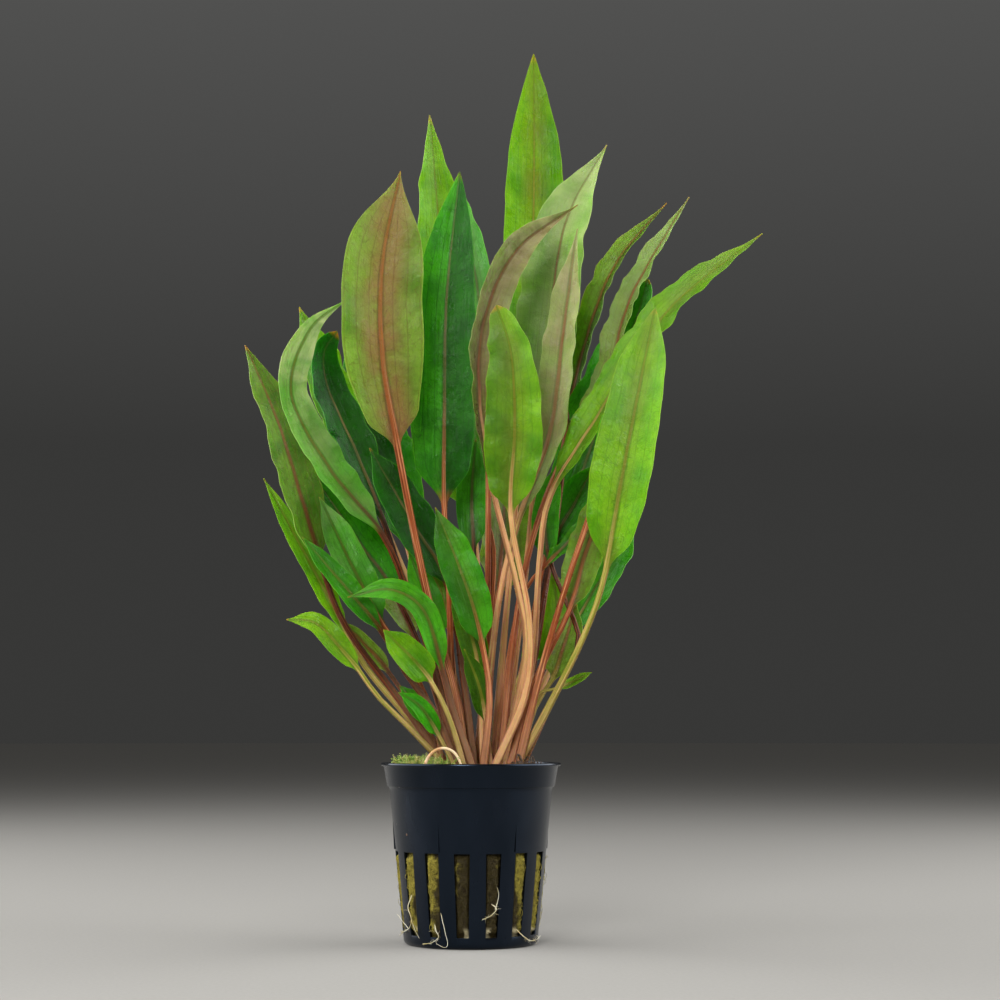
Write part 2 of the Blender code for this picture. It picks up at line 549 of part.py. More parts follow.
class Crowd:
    """All leaves together, as samples on their middle surfaces that push each other apart.

    Blades move only towards the front or back, and where a blade passes another leaf, the one
    that is in front stays in front. Stalks move sideways too. The feet stay where they are.
    """

    def __init__(self, forms):
        self.forms = forms
        rows = [(number, *row) for number, form in enumerate(forms) for row in form.samples()]
        self.owner, ring, self.share, self.point, self.thick, self.blade = map(np.array, zip(*rows))
        self.first = np.concatenate([[0], np.cumsum([len(form.centres) for form in forms])])
        self.low = self.first[self.owner] + ring
        self.shift = np.zeros((self.first[-1], 3))
        self.stalks = np.flatnonzero(~self.blade)
        self.find_pairs()

    def find_pairs(self):
        """Pairs of samples of two leaves, a blade among them, that cover each other from the front."""
        flat = self.point[:, [0, 2]]
        firsts, seconds = [], []
        for index in range(len(flat) - 1):
            near = (np.abs(flat[index + 1:] - flat[index]) < SAMPLE_REACH).all(axis=1)
            near &= self.owner[index + 1:] != self.owner[index]
            near &= self.blade[index + 1:] | self.blade[index]
            found = np.flatnonzero(near) + index + 1
            firsts.append(np.full(len(found), index))
            seconds.append(found)
        self.a, self.b = np.concatenate(firsts), np.concatenate(seconds)
        meeting = (self.owner[self.a] * len(self.forms) + self.owner[self.b]) * 4
        meeting += self.blade[self.a] * 2 + self.blade[self.b]
        keys, meeting = np.unique(meeting, return_inverse=True)
        depth = self.point[self.b, 1] - self.point[self.a, 1]
        order = np.where(np.bincount(meeting, depth, len(keys)) < 0, -1.0, 1.0)
        self.order = order[meeting]
        self.need = self.thick[self.a] + self.thick[self.b] + CLEARANCE

    def spread(self):
        """Pushes until the leaves are clear, smoothing each leaf's bend in the early rounds."""
        for turn in range(SPREAD_ROUNDS):
            move = self.blade_moves() + self.stalk_moves()
            self.shift += move * 0.7
            if turn < SPREAD_ROUNDS * 0.7:
                for start, end in zip(self.first[:-1], self.first[1:]):
                    run = self.shift[start:end]
                    run[1:-1] += 0.12 * (run[:-2] + run[2:] - 2 * run[1:-1])
            self.shift[self.first[:-1]] = 0.0
        for form, start, end in zip(self.forms, self.first[:-1], self.first[1:]):
            form.centres = form.centres + self.shift[start:end]

    def places(self):
        """Where the samples are now."""
        share = self.share[:, None]
        return self.point + self.shift[self.low] * (1 - share) + self.shift[self.low + 1] * share

    def blade_moves(self):
        """Front and back moves that each ring needs, from the samples that sit too close."""
        depth = self.places()[:, 1]
        lack = self.need - self.order * (depth[self.b] - depth[self.a])
        short = lack > 0
        back_push = np.zeros(len(depth))
        front_push = np.zeros(len(depth))
        for ends, sign in ((self.a, -self.order), (self.b, self.order)):
            back, front = short & (sign > 0), short & (sign < 0)
            np.maximum.at(back_push, ends[back], lack[back])
            np.maximum.at(front_push, ends[front], lack[front])
        move = np.zeros_like(self.shift)
        for push, sign in ((back_push, 0.6), (front_push, -0.6)):
            most = np.zeros(len(self.shift))
            np.maximum.at(most, self.low, push * (1 - self.share))
            np.maximum.at(most, self.low + 1, push * self.share)
            move[:, 1] += sign * most
        return move

    def stalk_moves(self):
        """Sideways moves that keep round stalks clear of each other."""
        place = self.places()[self.stalks]
        thick, owner = self.thick[self.stalks], self.owner[self.stalks]
        gap = place[:, None, :] - place[None, :, :]
        distance = np.linalg.norm(gap, axis=2) + 1e-9
        lack = thick[:, None] + thick[None, :] + CLEARANCE - distance
        lack[owner[:, None] == owner[None, :]] = 0.0
        push = (gap / distance[:, :, None] * np.maximum(lack, 0)[:, :, None]).sum(axis=1) * 0.35
        push[:, 2] = 0.0
        share = self.share[self.stalks][:, None]
        move = np.zeros_like(self.shift)
        np.add.at(move, self.low[self.stalks], push * (1 - share))
        np.add.at(move, self.low[self.stalks] + 1, push * share)
        return move


def main():
    """Builds the pot, its filling, the roots and the leaves."""
    clear_scene()
    parts = collection("potted_cryptocoryne")
    cutters = collection("cutters")
    make_pot(parts, cutters)
    make_plug(parts)
    make_moss(parts)
    make_roots(parts)
    make_leaves(parts)


main()
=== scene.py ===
"""Looks of the potted cryptocoryne: fine leaves, pot, mineral wool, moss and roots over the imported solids.

Blender 4.5, metres, +Z up, with the middle of the pot's underside at the origin and the photo's
camera on the -Y side. Sizes are written in millimetres and turned to metres by MM.
"""

import logging
import math
from dataclasses import dataclass, field
from enum import Enum
from functools import partial
from typing import Any, Callable, Iterable, Sequence

import bmesh
import bpy
import numpy as np
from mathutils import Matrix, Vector


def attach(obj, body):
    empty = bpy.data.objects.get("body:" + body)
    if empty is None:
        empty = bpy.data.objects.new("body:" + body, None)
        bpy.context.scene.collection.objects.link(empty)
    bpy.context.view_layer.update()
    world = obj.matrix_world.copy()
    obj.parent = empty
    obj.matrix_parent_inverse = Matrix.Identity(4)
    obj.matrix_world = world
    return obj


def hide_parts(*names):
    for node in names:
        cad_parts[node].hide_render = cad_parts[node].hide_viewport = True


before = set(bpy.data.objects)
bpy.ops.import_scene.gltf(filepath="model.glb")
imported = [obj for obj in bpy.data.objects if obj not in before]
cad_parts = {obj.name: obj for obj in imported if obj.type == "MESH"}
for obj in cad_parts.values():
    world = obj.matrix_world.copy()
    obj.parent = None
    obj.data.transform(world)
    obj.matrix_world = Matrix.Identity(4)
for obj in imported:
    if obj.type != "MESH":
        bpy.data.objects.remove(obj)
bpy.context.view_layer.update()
LOG = logging.getLogger("potted_cryptocoryne")

MM = 0.001
BODY = "root"

# Leaves, as in the solids
CROWN_HEIGHT = 47.8
ROSETTE_SHIFT = -0.7
RINGS = 10
SMALL_RINGS = 8
SMALL_LEAF = 80.0
RING_SPREAD = 1.3
OUTLINE_POWER = 0.42
BASE_END = 0.25
POINT_START = 0.7
FLAT_FROM = 0.125
UPWARD = 0.25
SOLID_THICKNESS = 0.9
STALK_DIAMETER = 2.0
TIP_WIDTH = 0.9
LENS = (0, 0.85, 1, 0.85, 0, -0.85, -1, -0.85)
CLEARANCE = 0.35
SAMPLE_STEP = 3.0
SAMPLE_REACH = 2.7
SPREAD_ROUNDS = 120
EVENED_ROUNDS = 0.7 * SPREAD_ROUNDS
ROUND_SHARE = 0.7
EVENING = 0.12
BLADE_PUSH = 0.6
STALK_PUSH = 0.35

# Moss leaflets: where they are widest, and how deep their fold is beside their half width
LEAFLET_MIDDLE = 0.45
LEAFLET_FOLD = 0.25

# Pot, as in the solids
POT_HEIGHT = 50.5
BAND_FOOT_HEIGHT = 43.8
BODY_TOP_RADIUS = 23.0
BODY_FOOT_RADIUS = 18.7
WALL = 1.1
SLOTS = 15
FIRST_SLOT = 18.0
SLOT_TOP = 26.0
SLOT_FOOT = 3.2
SLOT_TOP_WIDTH = 4.4
SLOT_FOOT_WIDTH = 3.3
PLUG_TOP = 47.2

# Added to a length before something is divided by it
NOT_ZERO = 1e-9

# Settings that many nodes share
SMOOTH: dict[str, Any] = {"interpolation_type": "SMOOTHSTEP"}
COLOUR_MIX: dict[str, Any] = {"out": 2, "data_type": "RGBA"}

Colour = tuple[float, float, float, float]
Place = tuple[float, float, float]
NodeMaker = Callable[..., bpy.types.NodeSocket]


def linear(text: str) -> Colour:
    """Turns an sRGB hex colour such as "#6BAA1E" to linear light.

    Args:
        text: The colour, as # and six hex digits.

    Returns:
        Red, green, blue and an alpha of 1.
    """
    parts = [int(text[i:i + 2], 16) / 255 for i in (1, 3, 5)]
    red, green, blue = (p / 12.92 if p <= 0.04045 else ((p + 0.055) / 1.055) ** 2.4 for p in parts)
    return (red, green, blue, 1.0)


def add_node(tree: bpy.types.NodeTree, kind: str, inputs: dict[int | str, Any],
             out: int | str = 0, **settings: Any) -> bpy.types.NodeSocket:
    """Adds a node with its settings and links.

    Args:
        tree: The material's node tree.
        kind: The node's type name after "ShaderNode".
        inputs: Socket name or number to another node's output, a number, a vector or a hex colour.
        out: The output that is wanted.
        **settings: Attributes of the node, and stops, a list of (place, hex colour) for a ramp.

    Returns:
        The wanted output of the new node.
    """
    node = tree.nodes.new("ShaderNode" + kind)
    stops = settings.pop("stops", ())
    if stops:
        elements = node.color_ramp.elements
        elements.remove(elements[1])
        for index, (place, colour) in enumerate(stops):
            element = elements.new(place) if index else elements[0]
            element.position = place
            element.color = linear(colour)
    for name, value in settings.items():
        setattr(node, name, value)
    for key, value in inputs.items():
        if isinstance(value, bpy.types.NodeSocket):
            tree.links.new(value, node.inputs[key])
        else:
            node.inputs[key].default_value = linear(value) if isinstance(value, str) else value
    return node.outputs[out]


def new_finish(name: str, **values: Any) -> tuple[bpy.types.Material, bpy.types.Node, NodeMaker]:
    """Starts a material.

    Args:
        name: The material's name.
        **values: Constant values of the shader's own sockets, with _ for a space.

    Returns:
        The material, its shader and a function that adds a node to it.
    """
    finish = bpy.data.materials.new(name)
    finish.use_nodes = True
    tree = finish.node_tree
    shader = tree.nodes["Principled BSDF"]
    for key, value in values.items():
        shader.inputs[key.replace("_", " ")].default_value = value
    return finish, shader, partial(add_node, tree)


def stored(node: NodeMaker, name: str) -> Sequence[bpy.types.NodeSocket]:
    """The three numbers of a vector that set_vector stored on the mesh."""
    layer = node("Attribute", {}, "Vector", attribute_name=name)
    return node("SeparateXYZ", {0: layer}).node.outputs


def dress(shader: bpy.types.Node, colour: bpy.types.NodeSocket, rough: bpy.types.NodeSocket,
          bump: bpy.types.NodeSocket) -> None:
    """Links a finish to its shader.

    Args:
        shader: The material's shader.
        colour: The colour's output.
        rough: The roughness's output.
        bump: The surface relief's output.
    """
    links = shader.id_data.links
    links.new(colour, shader.inputs["Base Color"])
    links.new(rough, shader.inputs["Roughness"])
    links.new(bump, shader.inputs["Normal"])


def mesh_from(name: str, points: np.ndarray, faces: Iterable[Sequence[int]]) -> bpy.types.Mesh:
    """Makes a smooth-shaded mesh from points in millimetres.

    Args:
        name: The mesh's name.
        points: Corner places in millimetres, one row each.
        faces: Corner numbers of each face.

    Returns:
        The mesh, in metres.
    """
    mesh = bpy.data.meshes.new(name)
    mesh.from_pydata((np.asarray(points) * MM).tolist(), [], list(faces))
    mesh.shade_smooth()
    return mesh


def ring_faces(rows: int, columns: int, start: int = 0) -> list[tuple[int, ...]]:
    """Faces of a skin around rings of corners, closed at both ends.

    Args:
        rows: How many rings there are.
        columns: How many corners each ring has.
        start: The first corner's number.

    Returns:
        Corner numbers of each face, facing out.
    """
    last = start + (rows - 1) * columns
    faces = [tuple(range(start + columns - 1, start - 1, -1))]
    for low in range(start, last, columns):
        for here in range(columns):
            after = (here + 1) % columns
            faces.append((low + here, low + after, low + columns + after, low + columns + here))
    return [*faces, tuple(range(last, last + columns))]


def place_piece(name: str, mesh: bpy.types.Mesh, finish: bpy.types.Material, slot: str,
                *nodes: str) -> bpy.types.Object:
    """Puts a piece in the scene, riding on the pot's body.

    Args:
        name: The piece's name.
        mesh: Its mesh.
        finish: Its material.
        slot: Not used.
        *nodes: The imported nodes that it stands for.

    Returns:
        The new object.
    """
    mesh.materials.append(finish)
    piece = bpy.data.objects.new(name, mesh)
    bpy.context.scene.collection.objects.link(piece)
    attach(piece, BODY)
    if nodes:
        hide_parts(*nodes)
    return piece


def set_vector(mesh: bpy.types.Mesh, name: str, values: np.ndarray) -> None:
    """Stores one vector for each point of a mesh.

    Args:
        mesh: The mesh.
        name: The attribute's name, as the materials read it.
        values: One row of three numbers for each point.
    """
    layer = mesh.attributes.new(name, "FLOAT_VECTOR", "POINT")
    layer.data.foreach_set("vector", np.ascontiguousarray(values, dtype=np.float32).ravel())


def smooth_path(points: Iterable[Sequence[float]], shares: np.ndarray) -> np.ndarray:
    """Reads a smooth curve through the given points.

    Args:
        points: The points that the curve passes through.
        shares: Where to read it, as shares of its length.

    Returns:
        One row of x, y and z for each share.
    """
    knots = [np.array(p, float) for p in points]
    knots = [2 * knots[0] - knots[1], *knots, 2 * knots[-1] - knots[-2]]
    fine = []
    for i in range(1, len(knots) - 2):
        before, here, there, after = knots[i - 1:i + 3]
        for t in np.linspace(0, 1, 16, endpoint=False):
            fine.append(0.5 * (2 * here + (there - before) * t
                               + (2 * before - 5 * here + 4 * there - after) * t ** 2
                               + (3 * here - before - 3 * there + after) * t ** 3))
    fine.append(knots[-2])
    curve = np.array(fine)
    run = np.concatenate([[0], np.cumsum(np.linalg.norm(np.diff(curve, axis=0), axis=1))])
    return np.stack([np.interp(shares * run[-1], run, curve[:, axis]) for axis in range(3)], axis=1)


def path_length(points: Iterable[Sequence[float]]) -> float:
    """Length of the smooth curve through the points, in their unit."""
    curve = smooth_path(points, np.linspace(0, 1, 60))
    return float(np.linalg.norm(np.diff(curve, axis=0), axis=1).sum())


def step_between(low: float, high: float, value: np.ndarray) -> np.ndarray:
    """Smooth step from 0 at low to 1 at high."""
    share = np.clip((value - low) / (high - low), 0, 1)
    return share * share * (3 - 2 * share)


def body_radius(height: float | np.ndarray) -> float | np.ndarray:
    """Outer radius of the pot's tapering body at a height, in millimetres."""
    return BODY_FOOT_RADIUS + (BODY_TOP_RADIUS - BODY_FOOT_RADIUS) * height / BAND_FOOT_HEIGHT


class Strands:
    """Many thin round strands gathered in one mesh, each closed at both ends."""

    def __init__(self, sides: int) -> None:
        """Starts an empty bundle.

        Args:
            sides: How many flat sides a strand has.
        """
        self.sides = sides
        self.points: list[np.ndarray] = []
        self.marks: list[np.ndarray] = []
        self.faces: list[tuple[int, ...]] = []
        self.count = 0

    def add(self, path: np.ndarray, radii: np.ndarray | float, mark: float) -> None:
        """Adds a strand.

        Args:
            path: Points along its middle, in millimetres.
            radii: Its radius at each point, or one for all.
            mark: A number that its colour is drawn from.
        """
        radii = np.broadcast_to(radii, len(path))
        along = np.gradient(path, axis=0)
        along /= np.linalg.norm(along, axis=1)[:, None] + NOT_ZERO
        spare = np.eye(3)[int(np.argmin(np.abs(along.mean(axis=0))))]
        side = np.cross(along, spare)
        side /= np.linalg.norm(side, axis=1)[:, None] + NOT_ZERO
        other = np.cross(along, side)
        angle = np.arange(self.sides) * math.tau / self.sides
        ring = (side[:, None] * np.cos(angle)[None, :, None]
                + other[:, None] * np.sin(angle)[None, :, None])
        points = path[:, None] + ring * radii[:, None, None]
        self.faces += ring_faces(len(path), self.sides, self.count)
        self.keep(points.reshape(-1, 3), mark, np.repeat(np.linspace(0, 1, len(path)), self.sides))

    def add_blade(self, foot: np.ndarray, tip: np.ndarray, side: np.ndarray, mark: float) -> None:
        """Adds a tiny pointed leaf as a thin closed diamond, folded along its middle line.

        Args:
            foot: Where it starts.
            tip: Where it ends.
            side: From its middle line to its edge.
            mark: A number that its colour is drawn from.
        """
        middle = foot * (1 - LEAFLET_MIDDLE) + tip * LEAFLET_MIDDLE
        drop = np.cross(tip - foot, side)
        drop *= LEAFLET_FOLD * np.linalg.norm(side) / (np.linalg.norm(drop) + NOT_ZERO)
        for corners in ((0, 2, 1), (0, 3, 2), (0, 1, 3), (2, 3, 1)):
            self.faces.append(tuple(self.count + corner for corner in corners))
        points = np.array([foot, middle + side - drop, tip, middle - side - drop])
        self.keep(points, mark, np.array([0, 0.5, 1, 0.5]))

    def keep(self, points: np.ndarray, mark: float, shares: np.ndarray) -> None:
        """Keeps new points.

        Args:
            points: Their places in millimetres.
            mark: The number that their colour is drawn from.
            shares: Where each is along its strand, from 0 to 1.
        """
        self.points.append(points)
        self.marks.append(np.stack([np.full(len(points), mark), shares, shares * 0], axis=1))
        self.count += len(points)

    def mesh(self, name: str) -> bpy.types.Mesh:
        """Makes the mesh of all strands.

        Args:
            name: The mesh's name.

        Returns:
            The mesh, in metres, with the marks stored as "strand".
        """
        made = mesh_from(name, np.concatenate(self.points), self.faces)
        set_vector(made, "strand", np.concatenate(self.marks))
        return made


class LeafKind(Enum):
    """What a leaf's blade looks like, by its material's name."""

    BRIGHT = "leaf_bright"
    GREEN = "leaf_green"
    DEEP = "leaf_deep"
    OLIVE = "leaf_olive"
    BRONZE = "leaf_bronze"
    DULL = "leaf_dull"


class StalkTone(Enum):
    """Colour of a stalk, as its place on the stalks' colour ramp."""

    DARK = 0.08
    RED = 0.38
    TAN = 0.62
    OLIVE = 0.92


@dataclass(frozen=True)
class Leaf:
    """One leaf, with its places in millimetres.

    The first fields are those of its solid: foot on the crown, the stalk's bends, the blade from
    neck to tip, width, the way it faces (degrees right of the front), its fold in degrees, its
    kind, the stalk's diameter, where along the blade it is widest, how round it is at the neck (a
    small base) and how drawn out at the tip (a large point). The others are its fine shape and
    colour: the stalk's tone, waves of the margin and their length, twist at the tip in degrees,
    the share of the rib that stands on the viewer's side, how orange the tip is, how far the
    rib's colour runs into the blade, how much painted shade darkens the right half, or the left
    one where shade is below 0, how much pale film of painted sheen lies on it, and how much
    painted shade darkens it where other leaves cover it.
    """

    name: str
    foot: tuple[float, float]
    stalk: tuple[Place, ...]
    blade: tuple[Place, ...]
    width: float
    faces: float
    fold: float
    kind: LeafKind
    stalk_diameter: float = STALK_DIAMETER
    belly: float = 0.42
    base: float = 0.9
    point: float = 0.6
    tone: StalkTone = StalkTone.RED
    wave: float = 0.7
    wave_length: float = 15.0
    twist: float = 0.0
    rib: float = 0.4
    tip: float = 0.6
    blush: float = 0.2
    # How much painted shade darkens one half
    shade: float = 0.0
    # How much pale film of painted sheen lies on the leaf
    painted_sheen: float = 0.0
    # How much painted shade darkens the leaf where other leaves cover it
    painted_inner_shade: float = 0.0


LEAVES: tuple[Leaf, ...] = (
    Leaf("leaf_tallest", (6.7, 5), ((12, 9, 108),),
         ((16, 13, 154), (18, 17, 186), (19, 21, 222), (19, 22, 262)), 18.5, 10, 10, LeafKind.BRIGHT,
         point=0.4, tone=StalkTone.TAN, wave=0.8, rib=0.25, blush=0.45, tip=0.4, shade=0.2, painted_inner_shade=0.2),
    Leaf("leaf_tall_left", (2.2, 5), ((7, 6, 105), (4, 7, 122)),
         ((-2, 8, 142), (-5, 11, 170), (-8.5, 13, 200), (-12, 14, 241)), 16, 22, 10, LeafKind.BRIGHT,
         point=0.45, wave=0.9, twist=-12, rib=0.25, blush=0.2, painted_inner_shade=0.25),
    Leaf("leaf_tall_inner", (4.5, 2.5), ((5, 2, 100),),
         ((5, 1, 146), (3, 1, 182), (-3, 1, 218)), 14, -38, 12, LeafKind.GREEN,
         wave=0.8, twist=8, rib=0.3, painted_sheen=0.1),
    Leaf("leaf_deep_green", (-0.5, -2.5), ((-4, -4, 71), (-5, -7, 96)),
         ((-6.5, -9, 122), (-6.5, -14, 146), (-6, -16, 180), (-2.5, -14, 217)),
         18.5, -10, 16, LeafKind.DEEP, belly=0.38, base=0.3, point=0.35,
         wave=0.4, rib=0.4, blush=0.1, shade=0.85, tip=0.2),
    Leaf("leaf_bronze_curl", (9, -7), ((16, -12, 80), (14, -14, 98)),
         ((7, -17, 126), (3, -21, 150), (4, -21, 172), (13, -18, 193), (31, -12, 208)),
         10.5, 40, 34, LeafKind.BRONZE,
         tone=StalkTone.TAN, wave=0.8, wave_length=12, twist=25, blush=0.9, shade=-0.6,
         painted_sheen=0.4),
    Leaf("leaf_pale_tall", (9, 0), ((15, 1, 94), (18, 2, 122)),
         ((20, 3, 148), (23, 4, 174), (28, 4, 206), (40, 2, 229)), 19, -24, 16, LeafKind.DULL, point=0.7,
         tone=StalkTone.TAN, wave=0.9, tip=1, rib=0.3, blush=0.35, shade=-0.5, painted_sheen=0.5),
    Leaf("leaf_pink_rib", (4.5, -4.5), ((6, -6, 74), (9, -7, 98)),
         ((14, -8, 118), (23, -10, 142), (27, -11, 172), (31, -8, 202)), 11, -30, 22, LeafKind.DULL,
         tone=StalkTone.TAN, wave=0.8, rib=0.7, blush=0.8, painted_sheen=0.7),
    Leaf("leaf_bronze_broad", (-0.5, -7), ((-4, -11, 71), (-11, -18, 96)),
         ((-19, -30, 136), (-23, -37, 160), (-23, -41, 185), (-18, -44, 210)),
         23, 16, 12, LeafKind.OLIVE, 2.4, 0.5, 0.4, 0.75,
         wave=0.5, wave_length=26, rib=0.7, blush=1.0, tip=0.3, painted_sheen=0.15),
    Leaf("leaf_wavy_front", (6.7, -9.5), ((16, -13, 70), (17, -17, 90)),
         ((12, -22, 118), (13, -28, 142), (12, -33, 162), (8, -35, 175)), 16, -10, 12, LeafKind.BRIGHT,
         point=0.05, tone=StalkTone.TAN, wave=1.5, wave_length=14, twist=20, rib=0.4, blush=0.35,
         shade=-0.4, painted_sheen=0.1, painted_inner_shade=0.1),
    Leaf("leaf_right_front", (12.6, -4.5), ((24.5, -9, 70), (33, -14.5, 87.5)),
         ((38, -19.5, 103), (42, -26, 126), (47, -28, 152), (52, -24, 176)), 17.5, -20, 14, LeafKind.BRIGHT,
         point=0.3, tone=StalkTone.OLIVE, wave=0.6, rib=0.5, blush=0.3, tip=0.3, painted_sheen=0.1),
    Leaf("leaf_right_hidden", (13.4, -7), ((19, -9, 74), (26.5, -13, 99)),
         ((35, -15, 124), (40, -19, 140), (44.5, -20, 155), (48, -19, 168)), 9, -20, 14, LeafKind.GREEN,
         tone=StalkTone.RED, wave=0.7),
    Leaf("leaf_right_long", (11.2, -2), ((18, -7, 79), (20, -10, 107)),
         ((23, -12, 125), (35, -14, 145), (56, -12, 177), (84, -6, 201)), 11.5, -40, 22, LeafKind.BRIGHT,
         tone=StalkTone.TAN, wave=0.9, wave_length=13, tip=1, rib=0.35, blush=0.3, shade=0.4,
         painted_sheen=0.1, painted_inner_shade=0.1),
    Leaf("leaf_olive_right", (11.2, 2.5), ((19, 6, 94), (24, 8, 118)),
         ((28, 10, 145), (34, 12, 172), (43, 14, 196), (58, 12, 214)), 8.5, -40, 34, LeafKind.OLIVE,
         wave=0.6, wave_length=12, tip=1, blush=0.15, shade=0.6),
    Leaf("leaf_tan_right", (9, -4.5), ((13, -5, 87), (18, -4, 113)),
         ((26, -3, 135), (39, -1, 157), (47, 2, 184), (64, 4, 214)), 8.5, -42, 30, LeafKind.OLIVE,
         wave=0.8, wave_length=10, blush=0.15, tip=0.8, shade=0.3, painted_sheen=0.4),
    Leaf("leaf_dark_right", (13.5, 0), ((20, 4, 91), (25, 5, 119)),
         ((29, 6, 145), (39, 8, 160), (47, 7, 174), (52, 5, 190)), 14.5, -34, 14, LeafKind.DEEP,
         belly=0.5, point=0.2, tone=StalkTone.DARK, wave=0.8, shade=0.3),
    Leaf("leaf_left_arch", (-2.8, -4.5), ((-10, -9, 78), (-17, -13, 98)),
         ((-24, -15, 114), (-38, -20, 131), (-49, -23, 152), (-44.5, -21, 170), (-34, -17, 180)),
         10.5, 32, 20, LeafKind.GREEN, belly=0.32,
         tone=StalkTone.DARK, wave=0.6, rib=0.4, blush=0.35, tip=0.3, shade=0.3, painted_sheen=0.75),
    Leaf("leaf_left_olive", (-5, -2.5), ((-17, -6, 65), (-34, -9, 88)),
         ((-41, -10, 105), (-47, -10, 124), (-54, -8, 146), (-64, -4, 169)), 13.5, 38, 16, LeafKind.OLIVE,
         point=0.5, tone=StalkTone.DARK, wave=0.8, blush=0.0, tip=0.8, shade=0.5, painted_inner_shade=0.15),
    Leaf("leaf_left_hook", (-2.8, 0), ((-11, 0, 82), (-19, 0, 103)),
         ((-24, 0, 118), (-33, 3, 140), (-41, 5, 158), (-42, 3, 168), (-38, 1, 174)),
         13, 34, 16, LeafKind.DEEP, belly=0.5, base=0.6, point=0.1,
         tone=StalkTone.DARK, wave=0.6, painted_inner_shade=0.9),
    Leaf("leaf_left_back", (-0.5, 2.5), ((-9, 5, 82), (-20, 8, 108)),
         ((-30, 10, 132), (-41, 13, 158), (-50, 12, 183)), 16, 36, 12, LeafKind.BRIGHT,
         tone=StalkTone.TAN, wave=0.8, tip=1, painted_inner_shade=0.2),
    Leaf("leaf_left_shade", (1.8, 0), ((-6, 1, 79), (-11, 2, 96)),
         ((-16, 3, 112), (-25, 6, 134), (-32, 6, 153)), 13, 28, 12, LeafKind.DEEP,
         tone=StalkTone.DARK, wave=0.6, painted_inner_shade=0.9),
    Leaf("leaf_dark_slant", (1.8, -4.5), ((-1, -6, 71),),
         ((-6, -8, 100), (-16, -9, 118), (-28, -8, 139)), 14, 28, 12, LeafKind.DEEP,
         tone=StalkTone.DARK, wave=0.6, painted_inner_shade=0.85),
    Leaf("leaf_mid_front", (4, -9.5), ((6, -13, 68),),
         ((4, -15, 83), (0, -19, 98), (-9, -20, 121)), 11, 5, 12, LeafKind.GREEN,
         wave=1.1, wave_length=11, blush=0.3, shade=-0.6, painted_inner_shade=0.1),
    Leaf("leaf_left_low", (-5, 0), ((-16, -3, 62), (-28, -4, 76)),
         ((-34, -5, 86), (-43, -5, 103), (-58.5, -2, 131)), 6.5, 25, 14, LeafKind.BRIGHT,
         tone=StalkTone.OLIVE, wave=0.5, blush=0.1),
    Leaf("leaf_left_small", (-2.8, -7), ((-9, -11, 64), (-17, -13, 75)),
         ((-24, -16, 87), (-34, -18, 99), (-46, -18, 113)), 6.5, 18, 14, LeafKind.GREEN,
         tone=StalkTone.DARK, wave=0.6, blush=0.1, painted_inner_shade=0.5),
    Leaf("leaf_left_dark", (-2.8, 2.5), ((-12, 3, 78),),
         ((-21, 4, 98), (-33, 6, 115), (-46, 5, 134)), 15, 36, 14, LeafKind.DEEP,
         tone=StalkTone.DARK, wave=0.6, painted_inner_shade=0.3),
    Leaf("leaf_left_pale_edge", (-2.8, -2.2), ((-16, -5, 77),),
         ((-24, -7, 89), (-33, -8, 106), (-42, -7, 125)), 10, 20, 14, LeafKind.GREEN,
         wave=0.7, blush=0.1, painted_sheen=0.2, painted_inner_shade=0.2),
    Leaf("leaf_bent_over", (1.8, -9.5), ((-4, -14, 65),),
         ((-7, -17, 76), (-12, -20, 92), (-21, -22, 98), (-33, -22, 96)), 7, 5, 16, LeafKind.GREEN,
         tone=StalkTone.DARK, wave=0.4),
    Leaf("leaf_left_lowest", (-4.5, -6), ((-16, -12, 60), (-25, -15, 69)),
         ((-30, -17, 76), (-36, -18, 83), (-42, -19, 89), (-50, -19, 90)),
         6.5, 15, 14, LeafKind.BRIGHT, 1.6,
         tone=StalkTone.OLIVE, wave=0.4, tip=1),
    Leaf("leaf_left_thin", (-5, 4.5), ((-12, 6, 60),),
         ((-23, 8, 76), (-30, 8, 84), (-37, 8, 91)), 5, 20, 12, LeafKind.OLIVE, 1.5,
         tone=StalkTone.DARK, wave=0.2),
    Leaf("leaf_short_front", (-0.5, -9.5), ((-5, -15, 63),),
         ((-10, -19, 73), (-15, -23, 79), (-23, -25, 87)), 9, 5, 12, LeafKind.BRIGHT, 1.6,
         tone=StalkTone.OLIVE, wave=0.4, blush=0, painted_inner_shade=0.25),
    Leaf("leaf_tiny_front", (-2.8, -9.5), (),
         ((-8, -13, 58), (-13, -18, 66), (-19, -20, 70)), 5, 0, 12, LeafKind.GREEN, 1.4,
         tone=StalkTone.OLIVE, wave=0.2, blush=0),
    Leaf("leaf_right_dark", (11.2, 5), ((19, 7, 85),),
         ((24, 9, 112), (30, 10, 124), (37, 10, 137)), 11, -20, 12, LeafKind.DEEP,
         tone=StalkTone.DARK, wave=0.6, painted_inner_shade=0.3),
    Leaf("leaf_right_edge", (6.7, -2), ((13, -3, 90), (18, -3, 102)),
         ((21.7, -3, 106), (29.5, -2, 114), (33.5, -1, 121)), 3.6, -18, 30, LeafKind.DEEP, 1.3,
         wave=0.9, wave_length=10),
    Leaf("leaf_right_bent", (14.4, -2.5), ((24, -5, 69), (31, -4, 84), (28, -1, 95)),
         ((23, 1, 108), (22, 2, 120), (25, 2, 135)), 8, -10, 12, LeafKind.DEEP, 1.6,
         tone=StalkTone.DARK, wave=0.7),
    Leaf("leaf_right_olive", (11.2, -7), ((20.5, -9, 75),),
         ((29, -10, 93), (33, -9.5, 108), (38, -9, 123), (41, -7, 135)), 11, -20, 12, LeafKind.OLIVE,
         wave=1.0, wave_length=10, blush=0.3, painted_inner_shade=0.3),
    Leaf("leaf_yellow_tip", (9, 5), ((17, 9, 66),),
